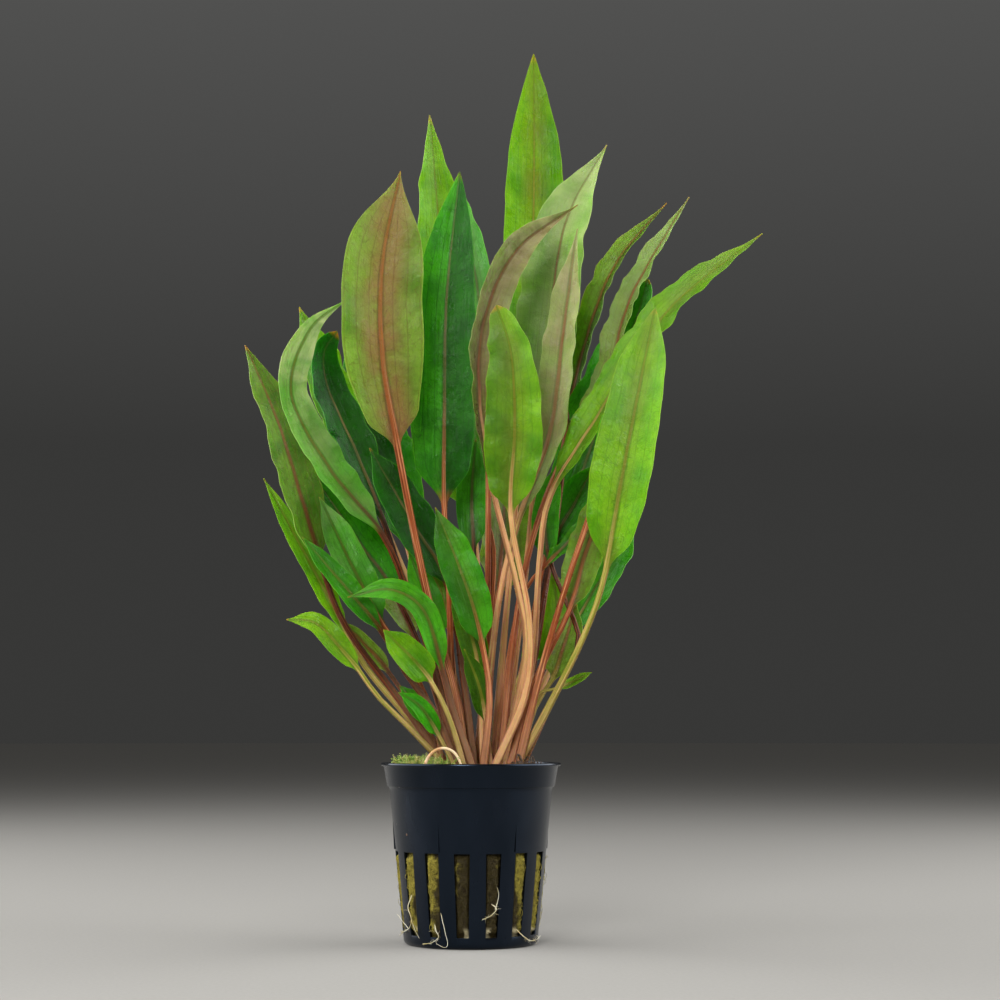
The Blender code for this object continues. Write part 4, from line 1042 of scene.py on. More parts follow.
@dataclass
class Foliage:
    """All leaves of the rosette, thin waved blades on tapering stalks, sizes in millimetres."""

    leaves: tuple[Leaf, ...] = LEAVES
    thickness: float = 0.38
    margin_thickness: float = 0.22
    point_width: float = 0.25
    sheath: float = 0.25
    sheath_height: float = 48.0
    full_sheath_length: float = 160.0
    stalk_taper: float = 0.2
    shift_rounds: int = 3
    stalk_station: float = 4.5
    blade_station: float = 1.5
    sharp_from: float = 55.0
    columns: tuple[float, ...] = (0.035, 0.09, 0.17, 0.28, 0.40, 0.52, 0.64, 0.75, 0.85, 0.93, 0.98, 1.0)
    tissues: tuple[LeafTissue, ...] = (
        LeafTissue(LeafKind.BRIGHT, "#6B9C0A", "#457D05", "#78983A", "#42640C", "#7C7428", "#7E7020"),
        LeafTissue(LeafKind.GREEN, "#40960F", "#267408", "#66963E", "#25560A", "#6E6226", "#5E681C"),
        LeafTissue(LeafKind.DEEP, "#36880E", "#1F6207", "#488430", "#113C09", "#846644", "#465214"),
        LeafTissue(LeafKind.OLIVE, "#688426", "#446412", "#869452", "#52361A", "#98582A", "#7C5E34"),
        LeafTissue(LeafKind.BRONZE, "#5A6C1A", "#3E4A12", "#7E7E42", "#42300F", "#6A3E20", "#5C4828"),
        LeafTissue(LeafKind.DULL, "#769E38", "#507E20", "#78A448", "#506030", "#7E5232", "#7E6C44"),
    )

    def build(self) -> list[bpy.types.Object]:
        """Spreads the leaves, then makes each one's fine piece in place of its solid.

        Returns:
            The leaves' objects.
        """
        finishes = {tissue.kind: tissue.material() for tissue in self.tissues}
        forms = [LeafForm(leaf) for leaf in self.leaves]
        Crowd(forms).spread()
        pieces = []
        for number, form in enumerate(forms):
            leaf = form.leaf
            mesh = self.fine_leaf(form, np.random.default_rng(number + 11))
            pieces.append(place_piece(leaf.name + "_fine", mesh, finishes[leaf.kind], leaf.kind.value,
                                      leaf.name))
        return pieces

    def stations(self, form: LeafForm) -> np.ndarray:
        """Finds where the fine mesh has a ring.

        Args:
            form: The leaf's form.

        Returns:
            Shares of the leaf's length.
        """
        stalk = max(4, int(form.length * form.neck / self.stalk_station))
        blade = max(16, int(form.length * (1 - form.neck) / self.blade_station))
        on_blade = form.neck + (1 - form.neck) * np.linspace(0, 1, blade)
        return np.concatenate([np.linspace(0, form.neck, stalk, endpoint=False), on_blade])

    def midrib(self, form: LeafForm, shares: np.ndarray) -> np.ndarray:
        """The midrib, with the crowd's shift smoothed along the leaf.

        Args:
            form: The leaf's form.
            shares: Shares of the leaf's length.

        Returns:
            One row of x, y and z for each share.
        """
        shift = np.stack([np.interp(shares, form.shares, column) for column in form.shift.T], axis=1)
        for _ in range(self.shift_rounds):
            shift[1:-1] = (shift[:-2] + 2 * shift[1:-1] + shift[2:]) / 4
        return smooth_path(form.route, shares) + shift

    def half_width(self, leaf: Leaf, v: np.ndarray) -> np.ndarray:
        """Half width of the fine blade, which runs to a point.

        Args:
            leaf: The leaf.
            v: Places along the blade, below 0 on the stalk.

        Returns:
            Half widths in millimetres.
        """
        radius = leaf.stalk_diameter / 2
        outline = leaf.width / 2 * blade_outline(v, leaf)
        lower = np.maximum(radius, outline)
        upper = np.maximum(self.point_width / 2, outline)
        return np.where(v <= 0, radius, lower + (upper - lower) * step_between(0.7, 0.95, v))

    def rise(self, leaf: Leaf, u: np.ndarray, along: np.ndarray, v: np.ndarray, half: np.ndarray,
             random: np.random.Generator) -> np.ndarray:
        """How far the blade's middle surface stands out towards the viewer's side.

        Args:
            leaf: The leaf.
            u: Places across, from -1 to 1.
            along: Places along the leaf in millimetres, as a column.
            v: Shares of the blade, as a column.
            half: Half widths, as a column.
            random: The leaf's own source of chance.

        Returns:
            Heights in millimetres, one row for each station.
        """
        beside = np.abs(u)
        reach = half / max(leaf.width / 2, 1)
        fold = math.tan(math.radians(leaf.fold)) * half * beside ** 1.15
        # Each margin waves on its own, with slow drifts and short ripples that keep it uneven
        phase = random.uniform(0, math.tau, 6)
        turns = math.tau * along / leaf.wave_length
        drift = 1.4 * np.sin(turns * 0.31 + phase[2])
        left = np.sin(turns + drift + phase[0]) * (0.25 + np.sin(turns * 0.17 + phase[4]) ** 2)
        right = np.sin(turns * 1.13 + drift + phase[3]) * (0.25 + np.sin(turns * 0.21 + phase[5]) ** 2)
        left += 0.3 * np.sin(turns * 2.3 + phase[1])
        right += 0.3 * np.sin(turns * 1.9 + phase[4])
        waves = np.where(u < 0, left, right) * beside ** 2.2 * reach * leaf.wave
        # Quilting of 0.12 mm between the veins
        quilt = 0.12 * np.sin(beside * 11 + 0.5) * np.sin(along / 1.9 + beside * 4) * reach
        calm = step_between(0.02, 0.15, v)
        return fold * step_between(0.0, FLAT_FROM, v) + (waves + quilt) * calm

    def fine_leaf(self, form: LeafForm, random: np.random.Generator) -> bpy.types.Mesh:
        """Makes one leaf as a closed skin and stores what its material reads.

        Args:
            form: The leaf's form, already spread.
            random: The leaf's own source of chance.

        Returns:
            The mesh, in metres.
        """
        leaf = form.leaf
        shares = self.stations(form)
        v = form.along_blade(shares)[:, None]
        along = shares[:, None] * form.length
        u = np.array([*(-c for c in reversed(self.columns)), 0.0, *self.columns])[None, :]
        centres = self.midrib(form, shares)
        turn = math.radians(leaf.twist) * step_between(0.45, 1.0, v[:, 0])
        side, face = form.directions(centres, turn)
        flat = step_between(0.0, FLAT_FROM, v)
        half = self.half_width(leaf, v) * (1 + 0.02 * np.sin(along / 5.3 + len(leaf.name)) * flat)
        rise = self.rise(leaf, u, along, v, half, random)
        thin = self.margin_thickness + (self.thickness - self.margin_thickness) * (1 - np.abs(u) ** 4)
        skin = thin / 2 * (0.7 + 0.3 * step_between(0, 1.5, half))
        taper = 1 - self.stalk_taper * step_between(0, form.neck * form.length, along) * (1 - flat)
        radius = leaf.stalk_diameter / 2 * taper
        # The rib is nearly as stout as the stalk at the neck and sinks into the blade at the tip
        rib_height = radius * np.clip(1 - v, 0, 1) ** 1.3 * 0.9 + 0.05
        rib_width = 0.45 * radius * np.clip(1.1 - v, 0, 1) + 0.22
        rib = rib_height * np.exp(-((half * u) / rib_width) ** 2)
        # The stalk is grooved in front, and a long leaf's widens to a sheath at the foot
        share = min(1.0, form.length / self.full_sheath_length)
        sheath = self.sheath * share * (1 - step_between(0, self.sheath_height, along))
        stalk = radius * (1 + 0.4 * sheath)
        angle = math.pi / 2 - u * (math.pi / 2 - 0.08)
        groove = 1 - 0.22 * np.sin(angle) ** 4
        across = radius * (1 + sheath) * np.cos(angle) * (1 - flat) + half * u * flat
        front = stalk * np.sin(angle) * groove * (1 - flat) + (rise + skin + rib * leaf.rib) * flat
        back = -stalk * np.sin(angle) * (1 - flat) + (rise - skin - rib * (1 - leaf.rib)) * flat
        wide = np.concatenate([across, across[:, ::-1]], axis=1)
        deep = np.concatenate([front, back[:, ::-1]], axis=1)
        points = (centres[:, None] + side[:, None] * wide[:, :, None] + face[:, None] * deep[:, :, None])
        mesh = mesh_from(leaf.name, points.reshape(-1, 3), ring_faces(*wide.shape))
        mesh.set_sharp_from_angle(angle=math.radians(self.sharp_from))
        both = np.concatenate([u, u[:, ::-1]], axis=1)
        viewer_side = np.repeat([1.0, 0.0], u.shape[1])[None, :]
        seed = float(random.random())
        # cover holds the amounts of painted sheen and of painted shade
        stored = {"place": (both, v, viewer_side), "size": (wide, along, half),
                  "tone": (leaf.tone.value, leaf.tip, seed), "tint": (leaf.blush, leaf.shade, leaf.rib),
                  "cover": (leaf.painted_sheen, leaf.painted_inner_shade, 0.0)}
        for name, parts in stored.items():
            spread = np.stack([np.broadcast_to(part, wide.shape) for part in parts], axis=2)
            set_vector(mesh, name, spread.reshape(-1, 3))
        return mesh


def lattice_noise(points: np.ndarray, cell: float) -> np.ndarray:
    """Smooth noise from -1 to 1.

    Args:
        points: Places in millimetres, with x, y and z last.
        cell: Size of its lumps in millimetres.

    Returns:
        One number for each place.
    """
    place = points / cell
    corner = np.floor(place)
    share = place - corner
    share = share * share * (3 - 2 * share)
    total = np.zeros(points.shape[:-1])
    for step in np.ndindex(2, 2, 2):
        # The digits far behind the point of a sine, which look like chance
        hashed = np.sin((corner + step) @ np.array([127.1, 311.7, 74.7])) * 43758.5453
        weight = np.where(np.array(step) == 1, share, 1 - share).prod(axis=-1)
        total += ((hashed - np.floor(hashed)) * 2 - 1) * weight
    return total


def wobble(path: np.ndarray, cell: float, amount: float) -> np.ndarray:
    """Path whose points are moved by smooth noise with lumps of the cell's size."""
    return path + amount * np.stack([lattice_noise(path + off, cell) for off in (0.0, 9.0, 18.0)], axis=1)


def keep_within(path: np.ndarray, radius: float) -> None:
    """Pulls the points of a path to within a radius of the pot's axis."""
    path[:, :2] *= np.minimum(1.0, radius / np.hypot(path[:, 0], path[:, 1]))[:, None]


@dataclass(frozen=True)
class MouldedPolypropylene:
    """Polypropylene with carbon black, injection moulded.

    The mould's satin face gives soft broad reflections over a near black, faintly blue body, with
    shallow flow marks under them and a few crumbs of dirt on top.
    """

    colour: str = "#050608"
    worn: str = "#0A0B0F"
    dirt: str = "#6A4A22"
    roughness: float = 0.22

    def material(self) -> bpy.types.Material:
        """Makes the pot's material.

        Returns:
            The material.
        """
        finish, shader, node = new_finish("pot_plastic", IOR=1.49, Specular_IOR_Level=0.36,
                                          Specular_Tint=(0.42, 0.64, 1.0, 1.0))
        room = node("TexCoord", {}, "Object")
        # Flow marks of about 8 mm, stretched upwards
        tall = node("Mapping", {0: room, "Scale": (125.0, 125.0, 45.0)})
        flow = node("TexNoise", {"Vector": tall, "Scale": 1.0, "Detail": 3.0})
        tone = node("MapRange", {0: flow, 1: 0.35, 2: 0.7})
        colour = node("Mix", {0: tone, 6: self.colour, 7: self.worn}, **COLOUR_MIX)
        # Crumbs of dirt of 0.6 mm, some 4 mm apart where they gather
        crumbs = node("TexVoronoi", {"Vector": room, "Scale": 260.0})
        chosen = node("TexNoise", {"Vector": room, "Scale": 90.0, "Detail": 1.0})
        crumbs = node("MapRange", {0: crumbs, 1: 0.07, 2: 0.11, 3: 1.0, 4: 0.0})
        chosen = node("MapRange", {0: chosen, 1: 0.62, 2: 0.68})
        crumbs = node("Math", {0: crumbs, 1: chosen}, operation="MULTIPLY")
        colour = node("Mix", {0: crumbs, 6: colour, 7: self.dirt}, **COLOUR_MIX)
        # Spark-eroded grain of 0.25 mm
        grain = node("TexNoise", {"Vector": room, "Scale": 4000.0, "Detail": 2.0})
        rough = node("MapRange", {0: flow, 1: 0.3, 2: 0.7, 3: self.roughness - 0.05,
                                  4: self.roughness + 0.09})
        rough = node("Math", {0: crumbs, 1: 0.4, 2: rough}, operation="MULTIPLY_ADD")
        relief = node("Math", {0: flow, 1: 6.0, 2: grain}, operation="MULTIPLY_ADD")
        relief = node("Math", {0: crumbs, 1: 3.0, 2: relief}, operation="MULTIPLY_ADD")
        bump = node("Bump", {"Height": relief, "Strength": 0.35, "Distance": 0.03 * MM})
        dress(shader, colour, rough, bump)
        return finish


@dataclass
class NetPot:
    """The moulded pot: lip, rim band, step, slotted tapering wall and floor, in millimetres."""

    lip_radius: float = 25.4
    lip_thickness: float = 0.9
    band_top_radius: float = 24.6
    band_foot_radius: float = 23.7
    floor: float = 1.6
    foot_rounding: float = 1.6
    edge: float = 0.16
    steps: int = 180
    lugs: int = 6
    first_lug: float = 36.0
    lug_width: float = 0.55
    lug_depth: float = 0.35
    cut_depth: float = 3.0
    seam: float = 0.05
    sliver: float = 0.002
    bevelled_from: float = 50.0
    sharp_from: float = 38.0
    finish: MouldedPolypropylene = field(default_factory=MouldedPolypropylene)

    def build(self) -> bpy.types.Object:
        """Turns the wall's section, cuts the slots and adds the stacking lugs.

        Returns:
            The pot.
        """
        mesh = bpy.data.meshes.new("pot_section")
        profile = self.profile()
        mesh.from_pydata([(r * MM, 0.0, z * MM) for r, z in profile],
                         [(i, i + 1) for i in range(len(profile) - 1)], [])
        maker = bpy.data.objects.new("pot_maker", mesh)
        cutter = bpy.data.objects.new("slot_cutter", self.wedges(
            [FIRST_SLOT + i * 360 / SLOTS for i in range(SLOTS)],
            (SLOT_FOOT, SLOT_FOOT_WIDTH / 2, -self.cut_depth, self.cut_depth),
            (SLOT_TOP, SLOT_TOP_WIDTH / 2, -self.cut_depth, self.cut_depth)))
        for thing in (maker, cutter):
            bpy.context.scene.collection.objects.link(thing)
        turn = maker.modifiers.new("turn", "SCREW")
        turn.steps = turn.render_steps = self.steps
        turn.use_merge_vertices = True
        turn.merge_threshold = self.seam * MM
        turn.use_smooth_shade = True
        cut = maker.modifiers.new("slots", "BOOLEAN")
        cut.solver = "EXACT"
        cut.object = cutter
        bevel = maker.modifiers.new("edges", "BEVEL")
        bevel.width = self.edge * MM
        bevel.segments = 2
        bevel.limit_method = "ANGLE"
        bevel.angle_limit = math.radians(self.bevelled_from)
        made = bpy.data.meshes.new_from_object(maker.evaluated_get(bpy.context.evaluated_depsgraph_get()))
        for thing in (maker, cutter):
            bpy.data.objects.remove(thing)
        lugs = self.wedges([self.first_lug + i * 360 / self.lugs for i in range(self.lugs)],
                           (SLOT_TOP + 0.4, self.lug_width / 2, -0.5, self.lug_depth),
                           (SLOT_TOP + 8.0, self.lug_width / 2, -0.5, 0.02))
        shape = bmesh.new()
        shape.from_mesh(made)
        shape.from_mesh(lugs)
        bmesh.ops.dissolve_degenerate(shape, edges=shape.edges, dist=self.sliver * MM)
        shape.to_mesh(made)
        shape.free()
        made.shade_smooth()
        made.set_sharp_from_angle(angle=math.radians(self.sharp_from))
        return place_piece("net_pot", made, self.finish.material(), "pot_plastic", "pot")

    def profile(self) -> list[tuple[float, float]]:
        """The wall's section from axis to axis, by the inside, the lip and the outside.

        The corners of the lip, the rim band and the step are rounded by 0.1 to 0.45 mm.

        Returns:
            Radius and height of each corner.
        """
        lip_foot = POT_HEIGHT - self.lip_thickness
        heights = np.linspace(self.foot_rounding, BAND_FOOT_HEIGHT - 1.0, 16)
        inside = [(body_radius(z) - WALL, z) for z in heights]
        outside = [(body_radius(z), z) for z in reversed(heights)]
        foot = body_radius(self.foot_rounding) - self.foot_rounding
        rounding = [(foot + self.foot_rounding * math.cos(a), self.foot_rounding * (1 - math.sin(a)))
                    for a in np.radians([15, 30, 45, 60, 75, 90])]
        return [
            (0, self.floor), (9, self.floor), *inside,
            (self.band_foot_radius - WALL, BAND_FOOT_HEIGHT),
            (self.band_top_radius - WALL, POT_HEIGHT - 0.2),
            (self.band_top_radius - WALL + 0.2, POT_HEIGHT), (self.lip_radius - 0.35, POT_HEIGHT),
            (self.lip_radius - 0.1, POT_HEIGHT - 0.12), (self.lip_radius, POT_HEIGHT - 0.35),
            (self.lip_radius, lip_foot + 0.2), (self.lip_radius - 0.15, lip_foot),
            (self.band_top_radius + 0.2, lip_foot), (self.band_top_radius, lip_foot - 0.25),
            (self.band_foot_radius, BAND_FOOT_HEIGHT + 0.45),
            (self.band_foot_radius - 0.1, BAND_FOOT_HEIGHT + 0.1),
            (self.band_foot_radius - 0.35, BAND_FOOT_HEIGHT), (BODY_TOP_RADIUS + 0.12, BAND_FOOT_HEIGHT),
            (BODY_TOP_RADIUS, BAND_FOOT_HEIGHT - 0.2), *outside, *rounding,
            (foot - 3, 0), (2.0, 0), (1.7, 0.3), (0, 0.3),
        ]

    def wedges(self, angles: Iterable[float], foot: tuple[float, float, float, float],
               top: tuple[float, float, float, float]) -> bpy.types.Mesh:
        """Upright wedges around the wall.

        Args:
            angles: Degrees right of the front.
            foot: Height, half width, and how far in and out from the wall at the lower end.
            top: The same at the upper end.

        Returns:
            The mesh of all wedges, in metres.
        """
        shape = bmesh.new()
        for angle in np.radians(list(angles)):
            outward = Vector((math.sin(angle), -math.cos(angle), 0))
            sideways = Vector((math.cos(angle), math.sin(angle), 0))
            for corner in bmesh.ops.create_cube(shape, size=2.0)["verts"]:
                side, inward, up = corner.co
                height, half_width, inner, outer = top if up > 0 else foot
                radius = body_radius(height) + (inner if inward > 0 else outer)
                corner.co = (outward * radius + sideways * side * half_width + Vector((0, 0, height))) * MM
        bmesh.ops.recalc_face_normals(shape, faces=shape.faces)
        mesh = bpy.data.meshes.new("wedges")
        shape.to_mesh(mesh)
        shape.free()
        return mesh


@dataclass(frozen=True)
class MineralWool:
    """Mineral wool, blown fibres felted with a binder, stained by tannin and algae.

    It is dull yellow-olive, with brown wet patches that thicken towards the foot, and paler where
    a fold of clean wool shows. Painted shade darkens it at the front, behind the two middle slots.
    The fibres themselves are 0.01 mm thick and are drawn at 0.1 mm.
    """

    light: str = "#A2963E"
    dark: str = "#4C4316"
    # Colour of the wet stains, also used for the painted shade at the front
    wet: str = "#261B08"
    clean: str = "#D6C9A0"

    def material(self, name: str) -> bpy.types.Material:
        """Makes the material of the felt or of its loose fibres.

        Args:
            name: The material's name.

        Returns:
            The material.
        """
        finish, shader, node = new_finish(name, IOR=1.5, Specular_IOR_Level=0.25)
        room = node("TexCoord", {}, "Object")
        across, depth, height = node("SeparateXYZ", {0: room}).node.outputs
        mark, _, _ = stored(node, "strand")
        # Matted lumps of 1.4 mm, stains of 7 mm
        lumps = node("TexNoise", {"Vector": room, "Scale": 700.0, "Detail": 5.0, "Distortion": 0.8})
        lumps = node("Math", {0: mark, 1: 0.35, 2: lumps}, operation="MULTIPLY_ADD")
        tone = node("MapRange", {0: lumps, 1: 0.35, 2: 0.68})
        colour = node("Mix", {0: tone, 6: self.dark, 7: self.light}, **COLOUR_MIX)
        stains_and_shade = node("TexNoise", {"Vector": room, "Scale": 140.0, "Detail": 4.0})
        low = node("MapRange", {0: height, 1: 2 * MM, 2: 22 * MM, 3: 0.06, 4: -0.08})
        stains_and_shade = node("Math", {0: stains_and_shade, 1: low})
        # Painted shade at the front, behind the two middle slots, added to the stains and drawn in their wet
        # colour
        aside = node("Math", {0: across, 1: 1.5 * MM}, operation="SUBTRACT")
        aside = node("Math", {0: aside}, operation="ABSOLUTE")
        painted_front_shade = node("MapRange", {0: aside, 1: 7 * MM, 2: 12 * MM, 3: 0.30, 4: 0.0})
        fore = node("MapRange", {0: depth, 1: -15 * MM, 2: -8 * MM, 3: 1.0, 4: 0.0})
        stains_and_shade = node("Math", {0: painted_front_shade, 1: fore, 2: stains_and_shade}, operation="MULTIPLY_ADD")
        stains_and_shade = node("MapRange", {0: stains_and_shade, 1: 0.50, 2: 0.62, 4: 0.92}, **SMOOTH)
        colour = node("Mix", {0: stains_and_shade, 6: colour, 7: self.wet}, **COLOUR_MIX)
        folds = node("TexNoise", {"Vector": room, "Scale": 190.0, "Detail": 1.0})
        folds = node("MapRange", {0: folds, 1: 0.52, 2: 0.57})
        at_foot = node("MapRange", {0: height, 1: 5.0 * MM, 2: 6.2 * MM, 3: 0.85, 4: 0.0})
        folds = node("Math", {0: folds, 1: at_foot}, operation="MULTIPLY")
        colour = node("Mix", {0: folds, 6: colour, 7: self.clean}, **COLOUR_MIX)
        felt = node("TexNoise", {"Vector": room, "Scale": 2600.0, "Detail": 3.0})
        rough = node("MapRange", {0: stains_and_shade, 3: 0.92, 4: 0.55})
        relief = node("Math", {0: lumps, 1: 2.0, 2: felt}, operation="MULTIPLY_ADD")
        bump = node("Bump", {"Height": relief, "Strength": 0.9, "Distance": 0.25 * MM})
        dress(shader, colour, rough, bump)
        return finish


@dataclass
class WoolPlug:
    """The wool that fills the pot, swelling a little into each slot, in millimetres."""

    foot: float = 2.0
    columns: int = 360
    rings: int = 64
    slack: float = 0.65
    swell: float = 1.4
    swell_full: float = 3.8
    swell_end: float = 5.2
    edge_drop: float = 1.4
    slot_fibres: int = 240
    slot_fibre_length: tuple[float, float] = (0.8, 2.2)
    top_fibres: int = 1500
    top_fibre_length: tuple[float, float] = (1.2, 3.4)
    top_fibre_reach: float = 20.6
    fibre_radius: float = 0.05
    finish: MineralWool = field(default_factory=MineralWool)

    def build(self) -> list[bpy.types.Object]:
        """Makes the felted body and its loose fibres.

        Returns:
            The two pieces.
        """
        body = place_piece("wool_felt", self.felt(), self.finish.material("mineral_wool"), "mineral_wool",
                           "wool_plug")
        fibres = place_piece("wool_fibres", self.fibres(np.random.default_rng(3)),
                             self.finish.material("wool_fibre"), "mineral_wool")
        return [body, fibres]

    def side_radius(self, angle: np.ndarray, height: np.ndarray) -> np.ndarray:
        """Radius of the felt's side.

        Args:
            angle: Degrees right of the front.
            height: Heights in millimetres.

        Returns:
            Radii in millimetres.
        """
        period = 360 / SLOTS
        off_slot = np.abs((angle - FIRST_SLOT + period / 2) % period - period / 2)
        within = 1 - step_between(self.swell_full, self.swell_end, off_slot)
        within = within * step_between(SLOT_FOOT, SLOT_FOOT + 2, height)
        within = within * (1 - step_between(SLOT_TOP - 2, SLOT_TOP, height))
        turn = np.radians(angle)
        place = np.stack([21 * np.sin(turn), -21 * np.cos(turn), height + 0 * angle], axis=-1)
        lumps = 0.22 * lattice_noise(place, 3.5) + 0.12 * lattice_noise(place, 1.2)
        return body_radius(height) - WALL - self.slack + within * self.swell + lumps

    def top_height(self, x: np.ndarray, y: np.ndarray) -> np.ndarray:
        """Height of the felt's top.

        Args:
            x: Places to the right in millimetres.
            y: Places to the back in millimetres.

        Returns:
            Heights in millimetres.
        """
        place = np.stack([x, y, x * 0], axis=-1)
        edge = self.edge_drop * step_between(17.5, 21.5, np.hypot(x, y))
        return PLUG_TOP - edge + 0.45 * lattice_noise(place, 5.0) + 0.2 * lattice_noise(place, 1.6)

    def felt(self) -> bpy.types.Mesh:
        """The body as one closed skin.

        Returns:
            The mesh, in metres.
        """
        turn = np.arange(self.columns) * math.tau / self.columns
        across = np.stack([np.sin(turn), -np.cos(turn)], axis=1)
        rings = [np.column_stack([across * radius, np.full(self.columns, self.foot)])
                 for radius in (6.0, 12.0, 16.0)]
        for height in np.linspace(self.foot + 0.4, PLUG_TOP - 1.6, self.rings):
            radius = self.side_radius(np.degrees(turn), np.full(self.columns, height))
            rings.append(np.column_stack([across * radius[:, None], np.full(self.columns, height)]))
        for radius in (21.0, 20.2, *np.arange(19.0, 1.0, -1.0)):
            flat = across * radius
            rings.append(np.column_stack([flat, self.top_height(flat[:, 0], flat[:, 1])]))
        return mesh_from("wool_felt", np.concatenate(rings), ring_faces(len(rings), self.columns))

    def fibres(self, random: np.random.Generator) -> bpy.types.Mesh:
        """Loose fibres over the felt in the slots and on its top.

        Args:
            random: Source of chance.

        Returns:
            The mesh, in metres.
        """
        bundle = Strands(3)
        run = np.linspace(-1, 1, 6)
        for slot in range(SLOTS):
            middle = FIRST_SLOT + slot * 360 / SLOTS
            for _ in range(self.slot_fibres):
                across, up = self.bent_fibre(run, self.slot_fibre_length, 0.4, random)
                angle = middle + random.uniform(-5, 5) + np.degrees(across / 21)
                height = np.clip(random.uniform(SLOT_FOOT + 0.6, SLOT_TOP - 0.6) + up, 2.6, SLOT_TOP + 1)
                lift = 0.04 + random.exponential(0.2) * (1 - run ** 2)
                radius = self.side_radius(angle, height) + lift
                turn = np.radians(angle)
                path = np.stack([radius * np.sin(turn), -radius * np.cos(turn), height], axis=1)
                bundle.add(path, self.fibre_radius, float(random.random()))
        for _ in range(self.top_fibres):
            reach = 20.0 * math.sqrt(random.random())
            start = random.uniform(0, math.tau)
            x, y = self.bent_fibre(run, self.top_fibre_length, 0.0, random)
            path = np.stack([reach * math.cos(start) + x, reach * math.sin(start) + y, run], axis=1)
            keep_within(path, self.top_fibre_reach)
            lift = 0.05 + random.exponential(0.3) * (1 - run ** 2)
            path[:, 2] = self.top_height(path[:, 0], path[:, 1]) + lift
            bundle.add(path, self.fibre_radius * 1.2, float(random.random()))
        return bundle.mesh("wool_fibres")

    def bent_fibre(self, run: np.ndarray, lengths: tuple[float, float], sag: float,
                   random: np.random.Generator) -> tuple[np.ndarray, np.ndarray]:
        """Draws a bent fibre that lies flat, pointing any way.

        Args:
            run: Places along it, from -1 to 1.
            lengths: Shortest and longest half length.
            sag: How far its bend is set back, as a share of the bend.
            random: Source of chance.

        Returns:
            Its two coordinates in the plane that it lies in.
        """
        lean = random.uniform(0, math.tau)
        length = random.uniform(*lengths)
        bow = random.normal(0, 0.5) * (run ** 2 - sag)
        return (length * (run * math.cos(lean) - bow * math.sin(lean)),
                length * (run * math.sin(lean) + bow * math.cos(lean)))


@dataclass(frozen=True)
class MossGreen:
    """Living water moss: stems with leaflets of some 0.7 mm, one cell thick.

    Thin leaflets let light through, so the tuft is soft mid-green outside, dark inside, and
    yellowish at some tips.
    """

    old: str = "#2C5210"
    grown: str = "#4F7C18"
    young: str = "#7FA62C"
    yellowed: str = "#A8A24A"

    def material(self) -> bpy.types.Material:
        """Makes the moss's material.

        Returns:
            The material.
        """
        finish, shader, node = new_finish("moss", IOR=1.42, Subsurface_Weight=0.25,
                                          Subsurface_Radius=(0.0006, 0.001, 0.0003), Subsurface_Scale=1.0)
        room = node("TexCoord", {}, "Object")
        mark, share, _ = stored(node, "strand")
        # Tufts of 3 mm differ in age
        tufts = node("TexNoise", {"Vector": room, "Scale": 330.0, "Detail": 2.0})
        age = node("Math", {0: mark, 1: 0.5, 2: tufts}, operation="MULTIPLY_ADD")
        age = node("Math", {0: share, 1: 0.2, 2: age}, operation="MULTIPLY_ADD")
        colour = node("ValToRGB", {0: age}, stops=[
            (0.35, self.old), (0.6, self.grown), (0.85, self.young), (1.0, self.yellowed)])
        cells = node("TexNoise", {"Vector": room, "Scale": 5000.0, "Detail": 1.0})
        rough = node("MapRange", {0: tufts, 3: 0.5, 4: 0.75})
        bump = node("Bump", {"Height": cells, "Strength": 0.4, "Distance": 0.05 * MM})
        dress(shader, colour, rough, bump)
        return finish


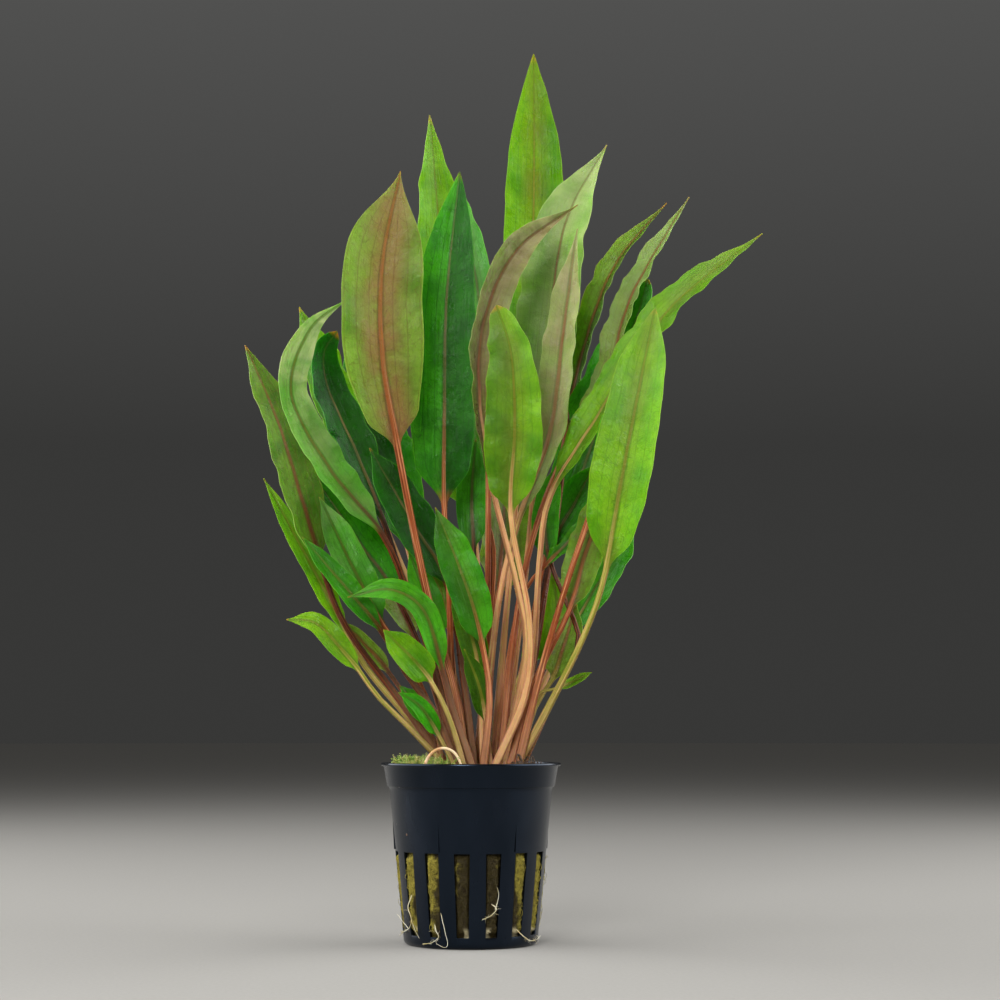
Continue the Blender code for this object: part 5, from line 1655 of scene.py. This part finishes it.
@dataclass
class MossTuft:
    """Shoots of moss along the left and front of the rim, in millimetres and degrees from +X."""

    ring_radius: float = 18.1
    start: float = 118.0
    end: float = 250.0
    foot: float = 47.3
    height: float = 6.3
    outer_radius: float = 22.6
    shoots: int = 1350
    shortest: float = 2.6
    stem_radii: tuple[float, float] = (0.11, 0.05)
    leaflet: float = 0.85
    leaflet_half_width: float = 0.22
    first_leaflet: float = 0.12
    leaflet_step: float = 0.075
    finish: MossGreen = field(default_factory=MossGreen)

    def build(self) -> bpy.types.Object:
        """Grows every shoot with its leaflets in two rows.

        Returns:
            The tuft.
        """
        random = np.random.default_rng(7)
        bundle = Strands(3)
        for _ in range(self.shoots):
            turn = math.radians(random.uniform(self.start, self.end))
            radius = self.ring_radius + random.normal(0, 1.2)
            foot = np.array([radius * math.cos(turn), radius * math.sin(turn), self.foot])
            lean = np.array([random.normal(0, 0.75), random.normal(0, 0.75), 1.0])
            lean /= np.linalg.norm(lean)
            length = random.uniform(self.shortest, self.height)
            bow = np.array([random.normal(0, 1), random.normal(0, 1), -0.4]) * 0.9
            run = np.linspace(0, 1, 6)[:, None]
            path = foot + lean * length * run + bow * run ** 2
            path[:, 2] = np.clip(path[:, 2], self.foot, self.foot + self.height)
            keep_within(path, self.outer_radius)
            mark = float(random.random())
            bundle.add(path, np.linspace(*self.stem_radii, 6), mark)
            self.add_leaflets(bundle, path, mark, random)
        return place_piece("moss_tuft", bundle.mesh("moss_tuft"), self.finish.material(), "moss", "moss")

    def add_leaflets(self, bundle: Strands, path: np.ndarray, mark: float,
                     random: np.random.Generator) -> None:
        """Adds the leaflets of one shoot.

        Args:
            bundle: The tuft's strands.
            path: The shoot's points.
            mark: Number that its colour is drawn from.
            random: Source of chance.
        """
        along = (path[-1] - path[0]) / np.linalg.norm(path[-1] - path[0])
        flat = np.cross(along, random.normal(0, 1, 3))
        flat /= np.linalg.norm(flat)
        for share in np.arange(self.first_leaflet, 1.0, self.leaflet_step):
            for sign in (-1.0, 1.0):
                place = share * (len(path) - 1)
                low = int(place)
                foot = path[low] + (path[low + 1] - path[low]) * (place - low)
                size = self.leaflet * (1.1 - 0.5 * share) * random.uniform(0.7, 1.2)
                tip = foot + (along * 0.75 + flat * sign * 0.65 + random.normal(0, 0.15, 3)) * size
                side = np.cross(tip - foot, np.cross(along, flat))
                side *= size * self.leaflet_half_width / (np.linalg.norm(side) + NOT_ZERO)
                bundle.add_blade(foot, tip, side, mark)


@dataclass(frozen=True)
class RootSkin:
    """Young aerial root: pale living skin with a thin wet film, browner where it is older."""

    young: str = "#E6CBA4"
    old: str = "#B98E5E"

    def material(self, name: str) -> bpy.types.Material:
        """Makes a root's material.

        Args:
            name: The material's name.

        Returns:
            The material.
        """
        finish, shader, node = new_finish(name, IOR=1.42, Subsurface_Weight=0.3, Coat_Weight=0.2,
                                          Subsurface_Radius=(0.0012, 0.0008, 0.0004), Subsurface_Scale=1.0)
        room = node("TexCoord", {}, "Object")
        # Age in lengths of 5 mm, fine rings of 0.5 mm
        age = node("TexNoise", {"Vector": room, "Scale": 200.0, "Detail": 3.0})
        tone = node("MapRange", {0: age, 1: 0.38, 2: 0.66}, **SMOOTH)
        colour = node("Mix", {0: tone, 6: self.young, 7: self.old}, **COLOUR_MIX)
        rings = node("TexNoise", {"Vector": room, "Scale": 2000.0, "Detail": 2.0})
        rough = node("MapRange", {0: age, 3: 0.35, 4: 0.6})
        bump = node("Bump", {"Height": rings, "Strength": 0.5, "Distance": 0.08 * MM})
        dress(shader, colour, rough, bump)
        return finish


@dataclass(frozen=True)
class RootRoute:
    """A root out of a slot: places as (degrees right of the front, height, distance out)."""

    name: str
    places: tuple[Place, ...]
    branches: tuple[tuple[Place, ...], ...] = ()


@dataclass
class Roots:
    """The root that arches over the moss and the thin ones out of the slots, in millimetres."""

    arch_start: tuple[float, float] = (-12.6, -18.5)
    arch_end: tuple[float, float] = (-2.2, -17.6)
    arch_rise: float = 6.2
    arch_radius: float = 0.46
    slot_radius: float = 0.12
    stations: int = 40
    hairs: int = 26
    hair_radii: tuple[float, float, float] = (0.04, 0.03, 0.02)
    routes: tuple[RootRoute, ...] = (
        RootRoute("root_left", ((-54.5, 14.5, -0.4), (-55.5, 11, 1.0), (-52.5, 8, 0.9), (-56.5, 5.4, 0.9),
                                (-68.5, 4, 0.9), (-82.5, 2.4, 1.0)),
                  (((-52.5, 8, 0.9), (-49.5, 5.2, 1.0), (-44.5, 2.8, 1.0)),
                   ((-58.5, 5.2, 0.9), (-66.5, 6.8, 1.1), (-78.5, 8.6, 1.3)))),
        RootRoute("root_front_left", ((-30.5, 7.0, -0.4), (-27.5, 5.2, 0.9), (-25.5, 3.4, 0.9),
                                      (-32.5, 1.8, 0.9), (-40.5, 1.5, 1.1)),
                  (((-24.5, 10.6, -0.2), (-20.5, 5.6, 0.6), (-17.5, 1.8, 1.0), (-20.5, 0.7, 1.1),
                    (-27.5, 1.7, 1.1)),)),
        RootRoute("root_front_right", ((17.5, 12.5, -0.4), (20.5, 11.2, 0.9), (16.5, 9.4, 0.9),
                                       (9.5, 8.2, 1.0)),
                  (((19.5, 10.8, 0.8), (22.5, 14.6, 0.5), (20.5, 18.0, -0.3)),)),
        RootRoute("root_right", ((41.5, 5.4, -0.4), (45.5, 3.6, 0.9), (55.5, 2.0, 0.9), (67.5, 1.8, 0.9),
                                 (77.5, 2.6, 1.0))),
    )
    arch_skin: RootSkin = field(default_factory=RootSkin)
    slot_skin: RootSkin = field(default_factory=lambda: RootSkin("#DDD3B6", "#A9965F"))

    def build(self) -> list[bpy.types.Object]:
        """Makes every root.

        Returns:
            The roots' objects.
        """
        arch = Strands(16)
        share = np.linspace(0, 1, 60)
        flat = (1 - np.cos(share * math.pi)) / 2
        start, end = np.array(self.arch_start), np.array(self.arch_end)
        path = np.column_stack([start + (end - start) * flat[:, None],
                                PLUG_TOP + 1.0 + (self.arch_rise + 0.3) * np.sin(share * math.pi)])
        arch.add(wobble(path, 3.0, 0.12), self.arch_radius * (1.05 - 0.35 * share), 0.5)
        pieces = [place_piece("arching_root", arch.mesh("arching_root"),
                              self.arch_skin.material("aerial_root"), "root", "arched_root")]
        skin = self.slot_skin.material("slot_root")
        random = np.random.default_rng(21)
        for route in self.routes:
            bundle = Strands(10)
            self.add_root(bundle, route.places, 1.0)
            for branch in route.branches:
                self.add_root(bundle, branch, 0.7)
            self.add_hairs(bundle, route.places, random)
            pieces.append(place_piece(route.name + "_fine", bundle.mesh(route.name), skin, "root",
                                      route.name))
        return pieces

    def path(self, places: Iterable[Place]) -> np.ndarray:
        """Smooth path through places around the wall.

        Args:
            places: Degrees right of the front, height and distance out from the wall.

        Returns:
            One row of x, y and z for each point.
        """
        knots = []
        for degrees, height, out in places:
            angle, radius = math.radians(degrees), body_radius(height) + out
            knots.append((radius * math.sin(angle), -radius * math.cos(angle), height))
        return smooth_path(knots, np.linspace(0, 1, self.stations))

    def add_root(self, bundle: Strands, places: Iterable[Place], size: float) -> None:
        """Adds one tapering root or branch."""
        path = wobble(self.path(places), 2.0, 0.1)
        bundle.add(path, self.slot_radius * size * np.linspace(1.15, 0.55, self.stations), 0.5)

    def add_hairs(self, bundle: Strands, places: Iterable[Place],
                  random: np.random.Generator) -> None:
        """Adds short root hairs.

        Args:
            bundle: The root's strands.
            places: The root's own places.
            random: Source of chance.
        """
        path = self.path(places)
        for _ in range(self.hairs):
            foot = path[random.integers(8, self.stations - 2)]
            tip = foot + random.normal(0, 0.55, 3)
            tip[2] = max(tip[2], 0.4)
            bow = random.normal(0, 0.12, 3)
            bundle.add(np.array([foot, (foot + tip) / 2 + bow, tip]), np.array(self.hair_radii), 0.5)


@dataclass(frozen=True)
class WitheredTissue:
    """Rotted leaf and stalk remains: dark, dull, curled as they dried."""

    colour: str = "#2C1C10"
    edge: str = "#5E4426"

    def material(self) -> bpy.types.Material:
        """Makes the remains' material.

        Returns:
            The material.
        """
        finish, shader, node = new_finish("withered_bits", IOR=1.45)
        room = node("TexCoord", {}, "Object")
        # Fibres of 0.6 mm come loose in lighter lines
        lines = node("TexNoise", {"Vector": room, "Scale": 1600.0, "Detail": 3.0})
        tone = node("MapRange", {0: lines, 1: 0.45, 2: 0.7})
        colour = node("Mix", {0: tone, 6: self.colour, 7: self.edge}, **COLOUR_MIX)
        rough = node("MapRange", {0: lines, 3: 0.55, 4: 0.9})
        bump = node("Bump", {"Height": lines, "Strength": 0.8, "Distance": 0.15 * MM})
        dress(shader, colour, rough, bump)
        return finish


@dataclass
class WitheredBits:
    """Curled dark remains on the wool at the right of the crown, in millimetres."""

    middle: tuple[float, float] = (15.5, -11.0)
    scatter: float = 2.2
    outer_radius: float = 21.5
    count: int = 20
    stations: int = 14
    finish: WitheredTissue = field(default_factory=WitheredTissue)

    def build(self) -> bpy.types.Object:
        """Makes all bits as one piece.

        Returns:
            The piece.
        """
        random = np.random.default_rng(5)
        bundle = Strands(6)
        share = np.linspace(0, 1, self.stations)
        for _ in range(self.count):
            x, y = np.array(self.middle) + random.normal(0, self.scatter, 2)
            lean, curl = random.uniform(0, math.tau), random.uniform(1.0, 3.5)
            turn = lean + curl * share
            step = random.uniform(2.5, 5.0) / self.stations
            path = np.column_stack([x + np.cumsum(np.cos(turn)) * step, y + np.cumsum(np.sin(turn)) * step,
                                    PLUG_TOP + 0.4 + random.uniform(1.5, 5.5) * np.sin(share * math.pi)])
            keep_within(path, self.outer_radius)
            bundle.add(path, random.uniform(0.22, 0.5) * (1.1 - share), 0.5)
        return place_piece("withered_bits", bundle.mesh("withered_bits"), self.finish.material(), "root")


@dataclass(frozen=True)
class SoftLight:
    """A soft rectangular light: its place, its width and height in millimetres, and its watts."""

    name: str
    place: Place
    size: tuple[float, float]
    power: float


@dataclass
class Studio:
    """Pale floor, a wide soft light on each side, one above, a small one in front, the camera.

    Sizes are in millimetres. The surround is dim at the horizon and brighter overhead.
    """

    floor_radius: float = 6000.0
    floor_colour: str = "#93918D"
    floor_mottle: str = "#8C8A86"
    lights: tuple[SoftLight, ...] = (
        SoftLight("light_left", (-680.0, 40.0, 410.0), (1100.0, 800.0), 11.0),
        SoftLight("light_right", (680.0, 40.0, 410.0), (1100.0, 800.0), 11.0),
        SoftLight("light_top", (-140.0, -430.0, 930.0), (420.0, 420.0), 3.5),
        SoftLight("light_front", (-170.0, -820.0, 360.0), (240.0, 240.0), 5.0),
    )
    light_aim: Place = (0.0, 0.0, 130.0)
    surround: float = 0.2
    horizon: str = "#7A7A78"
    zenith: str = "#F0F0EE"
    camera_place: Place = (8.2, -650.0, 62.0)
    camera_aim: Place = (8.2, 0.0, 125.0)
    focal_pixels: float = 2286.0
    photo_size: float = 1000.0
    sensor: float = 36.0

    def build(self) -> bpy.types.Object:
        """Sets the floor, the lights, the surround and the camera.

        Returns:
            The floor.
        """
        for light in self.lights:
            self.add_light(light)
        bpy.context.scene.view_settings.view_transform = "Standard"
        self.add_surround()
        self.add_camera()
        return self.add_floor()

    def add_surround(self) -> None:
        """Adds the surround, graded from horizon to zenith."""
        world = bpy.data.worlds.new("studio")
        world.use_nodes = True
        tree = world.node_tree
        sky = add_node(tree, "TexCoord", {}, "Generated")
        up = add_node(tree, "SeparateXYZ", {0: sky}, "Z")
        colour = add_node(tree, "ValToRGB", {0: up}, stops=[
            (0.0, self.horizon), (0.12, self.horizon), (0.7, self.zenith)])
        background = tree.nodes["Background"]
        background.inputs["Strength"].default_value = self.surround
        tree.links.new(colour, background.inputs["Color"])
        bpy.context.scene.world = world

    def add_light(self, light: SoftLight) -> None:
        """Adds a light that faces the plant.

        Args:
            light: The light.
        """
        lamp = bpy.data.lights.new(light.name, "AREA")
        lamp.shape = "RECTANGLE"
        lamp.size, lamp.size_y = light.size[0] * MM, light.size[1] * MM
        lamp.energy = light.power
        self.point(bpy.data.objects.new(light.name, lamp), light.place, self.light_aim)

    def add_camera(self) -> None:
        """Adds the photo's camera."""
        lens = bpy.data.cameras.new("photo_camera")
        lens.sensor_width = self.sensor
        lens.lens = self.focal_pixels * self.sensor / self.photo_size
        lens.clip_start = 0.01
        camera = bpy.data.objects.new("photo_camera", lens)
        self.point(camera, self.camera_place, self.camera_aim)
        bpy.context.scene.camera = camera

    def point(self, thing: bpy.types.Object, place: Sequence[float], aim: Sequence[float]) -> None:
        """Puts a light or camera in the scene, facing a point.

        Args:
            thing: The light or camera.
            place: Where it stands.
            aim: The point that it faces.
        """
        bpy.context.scene.collection.objects.link(thing)
        thing.location = Vector(place) * MM
        thing.rotation_euler = (Vector(aim) - Vector(place)).to_track_quat("-Z", "Y").to_euler()

    def add_floor(self) -> bpy.types.Object:
        """Adds the floor: matt paper, faintly mottled.

        Returns:
            The floor.
        """
        shape = bmesh.new()
        bmesh.ops.create_circle(shape, cap_ends=True, segments=96, radius=self.floor_radius * MM)
        mesh = bpy.data.meshes.new("floor")
        shape.to_mesh(mesh)
        shape.free()
        finish, shader, node = new_finish("matt_paper", IOR=1.45, Specular_IOR_Level=0.1)
        room = node("TexCoord", {}, "Object")
        fibres = node("TexNoise", {"Vector": room, "Scale": 900.0, "Detail": 2.0})
        colour = node("Mix", {0: fibres, 6: self.floor_colour, 7: self.floor_mottle}, **COLOUR_MIX)
        rough = node("MapRange", {0: fibres, 3: 0.85, 4: 1.0})
        bump = node("Bump", {"Height": fibres, "Strength": 0.1, "Distance": 0.1 * MM})
        dress(shader, colour, rough, bump)
        mesh.materials.append(finish)
        floor = bpy.data.objects.new("floor", mesh)
        bpy.context.scene.collection.objects.link(floor)
        return floor


def main() -> None:
    """Builds the pot, its filling, the roots, the leaves and the studio, and logs each piece's faces."""
    logging.basicConfig(level=logging.INFO, format="%(message)s")
    assemblies = (NetPot(), WoolPlug(), MossTuft(), Roots(), WitheredBits(), Foliage(), Studio())
    for assembly in assemblies:
        made = assembly.build()
        for piece in made if isinstance(made, list) else [made]:
            LOG.info("%s: %s, %d faces", type(assembly).__name__, piece.name, len(piece.data.polygons))


if __name__ == "__main__":
    main()
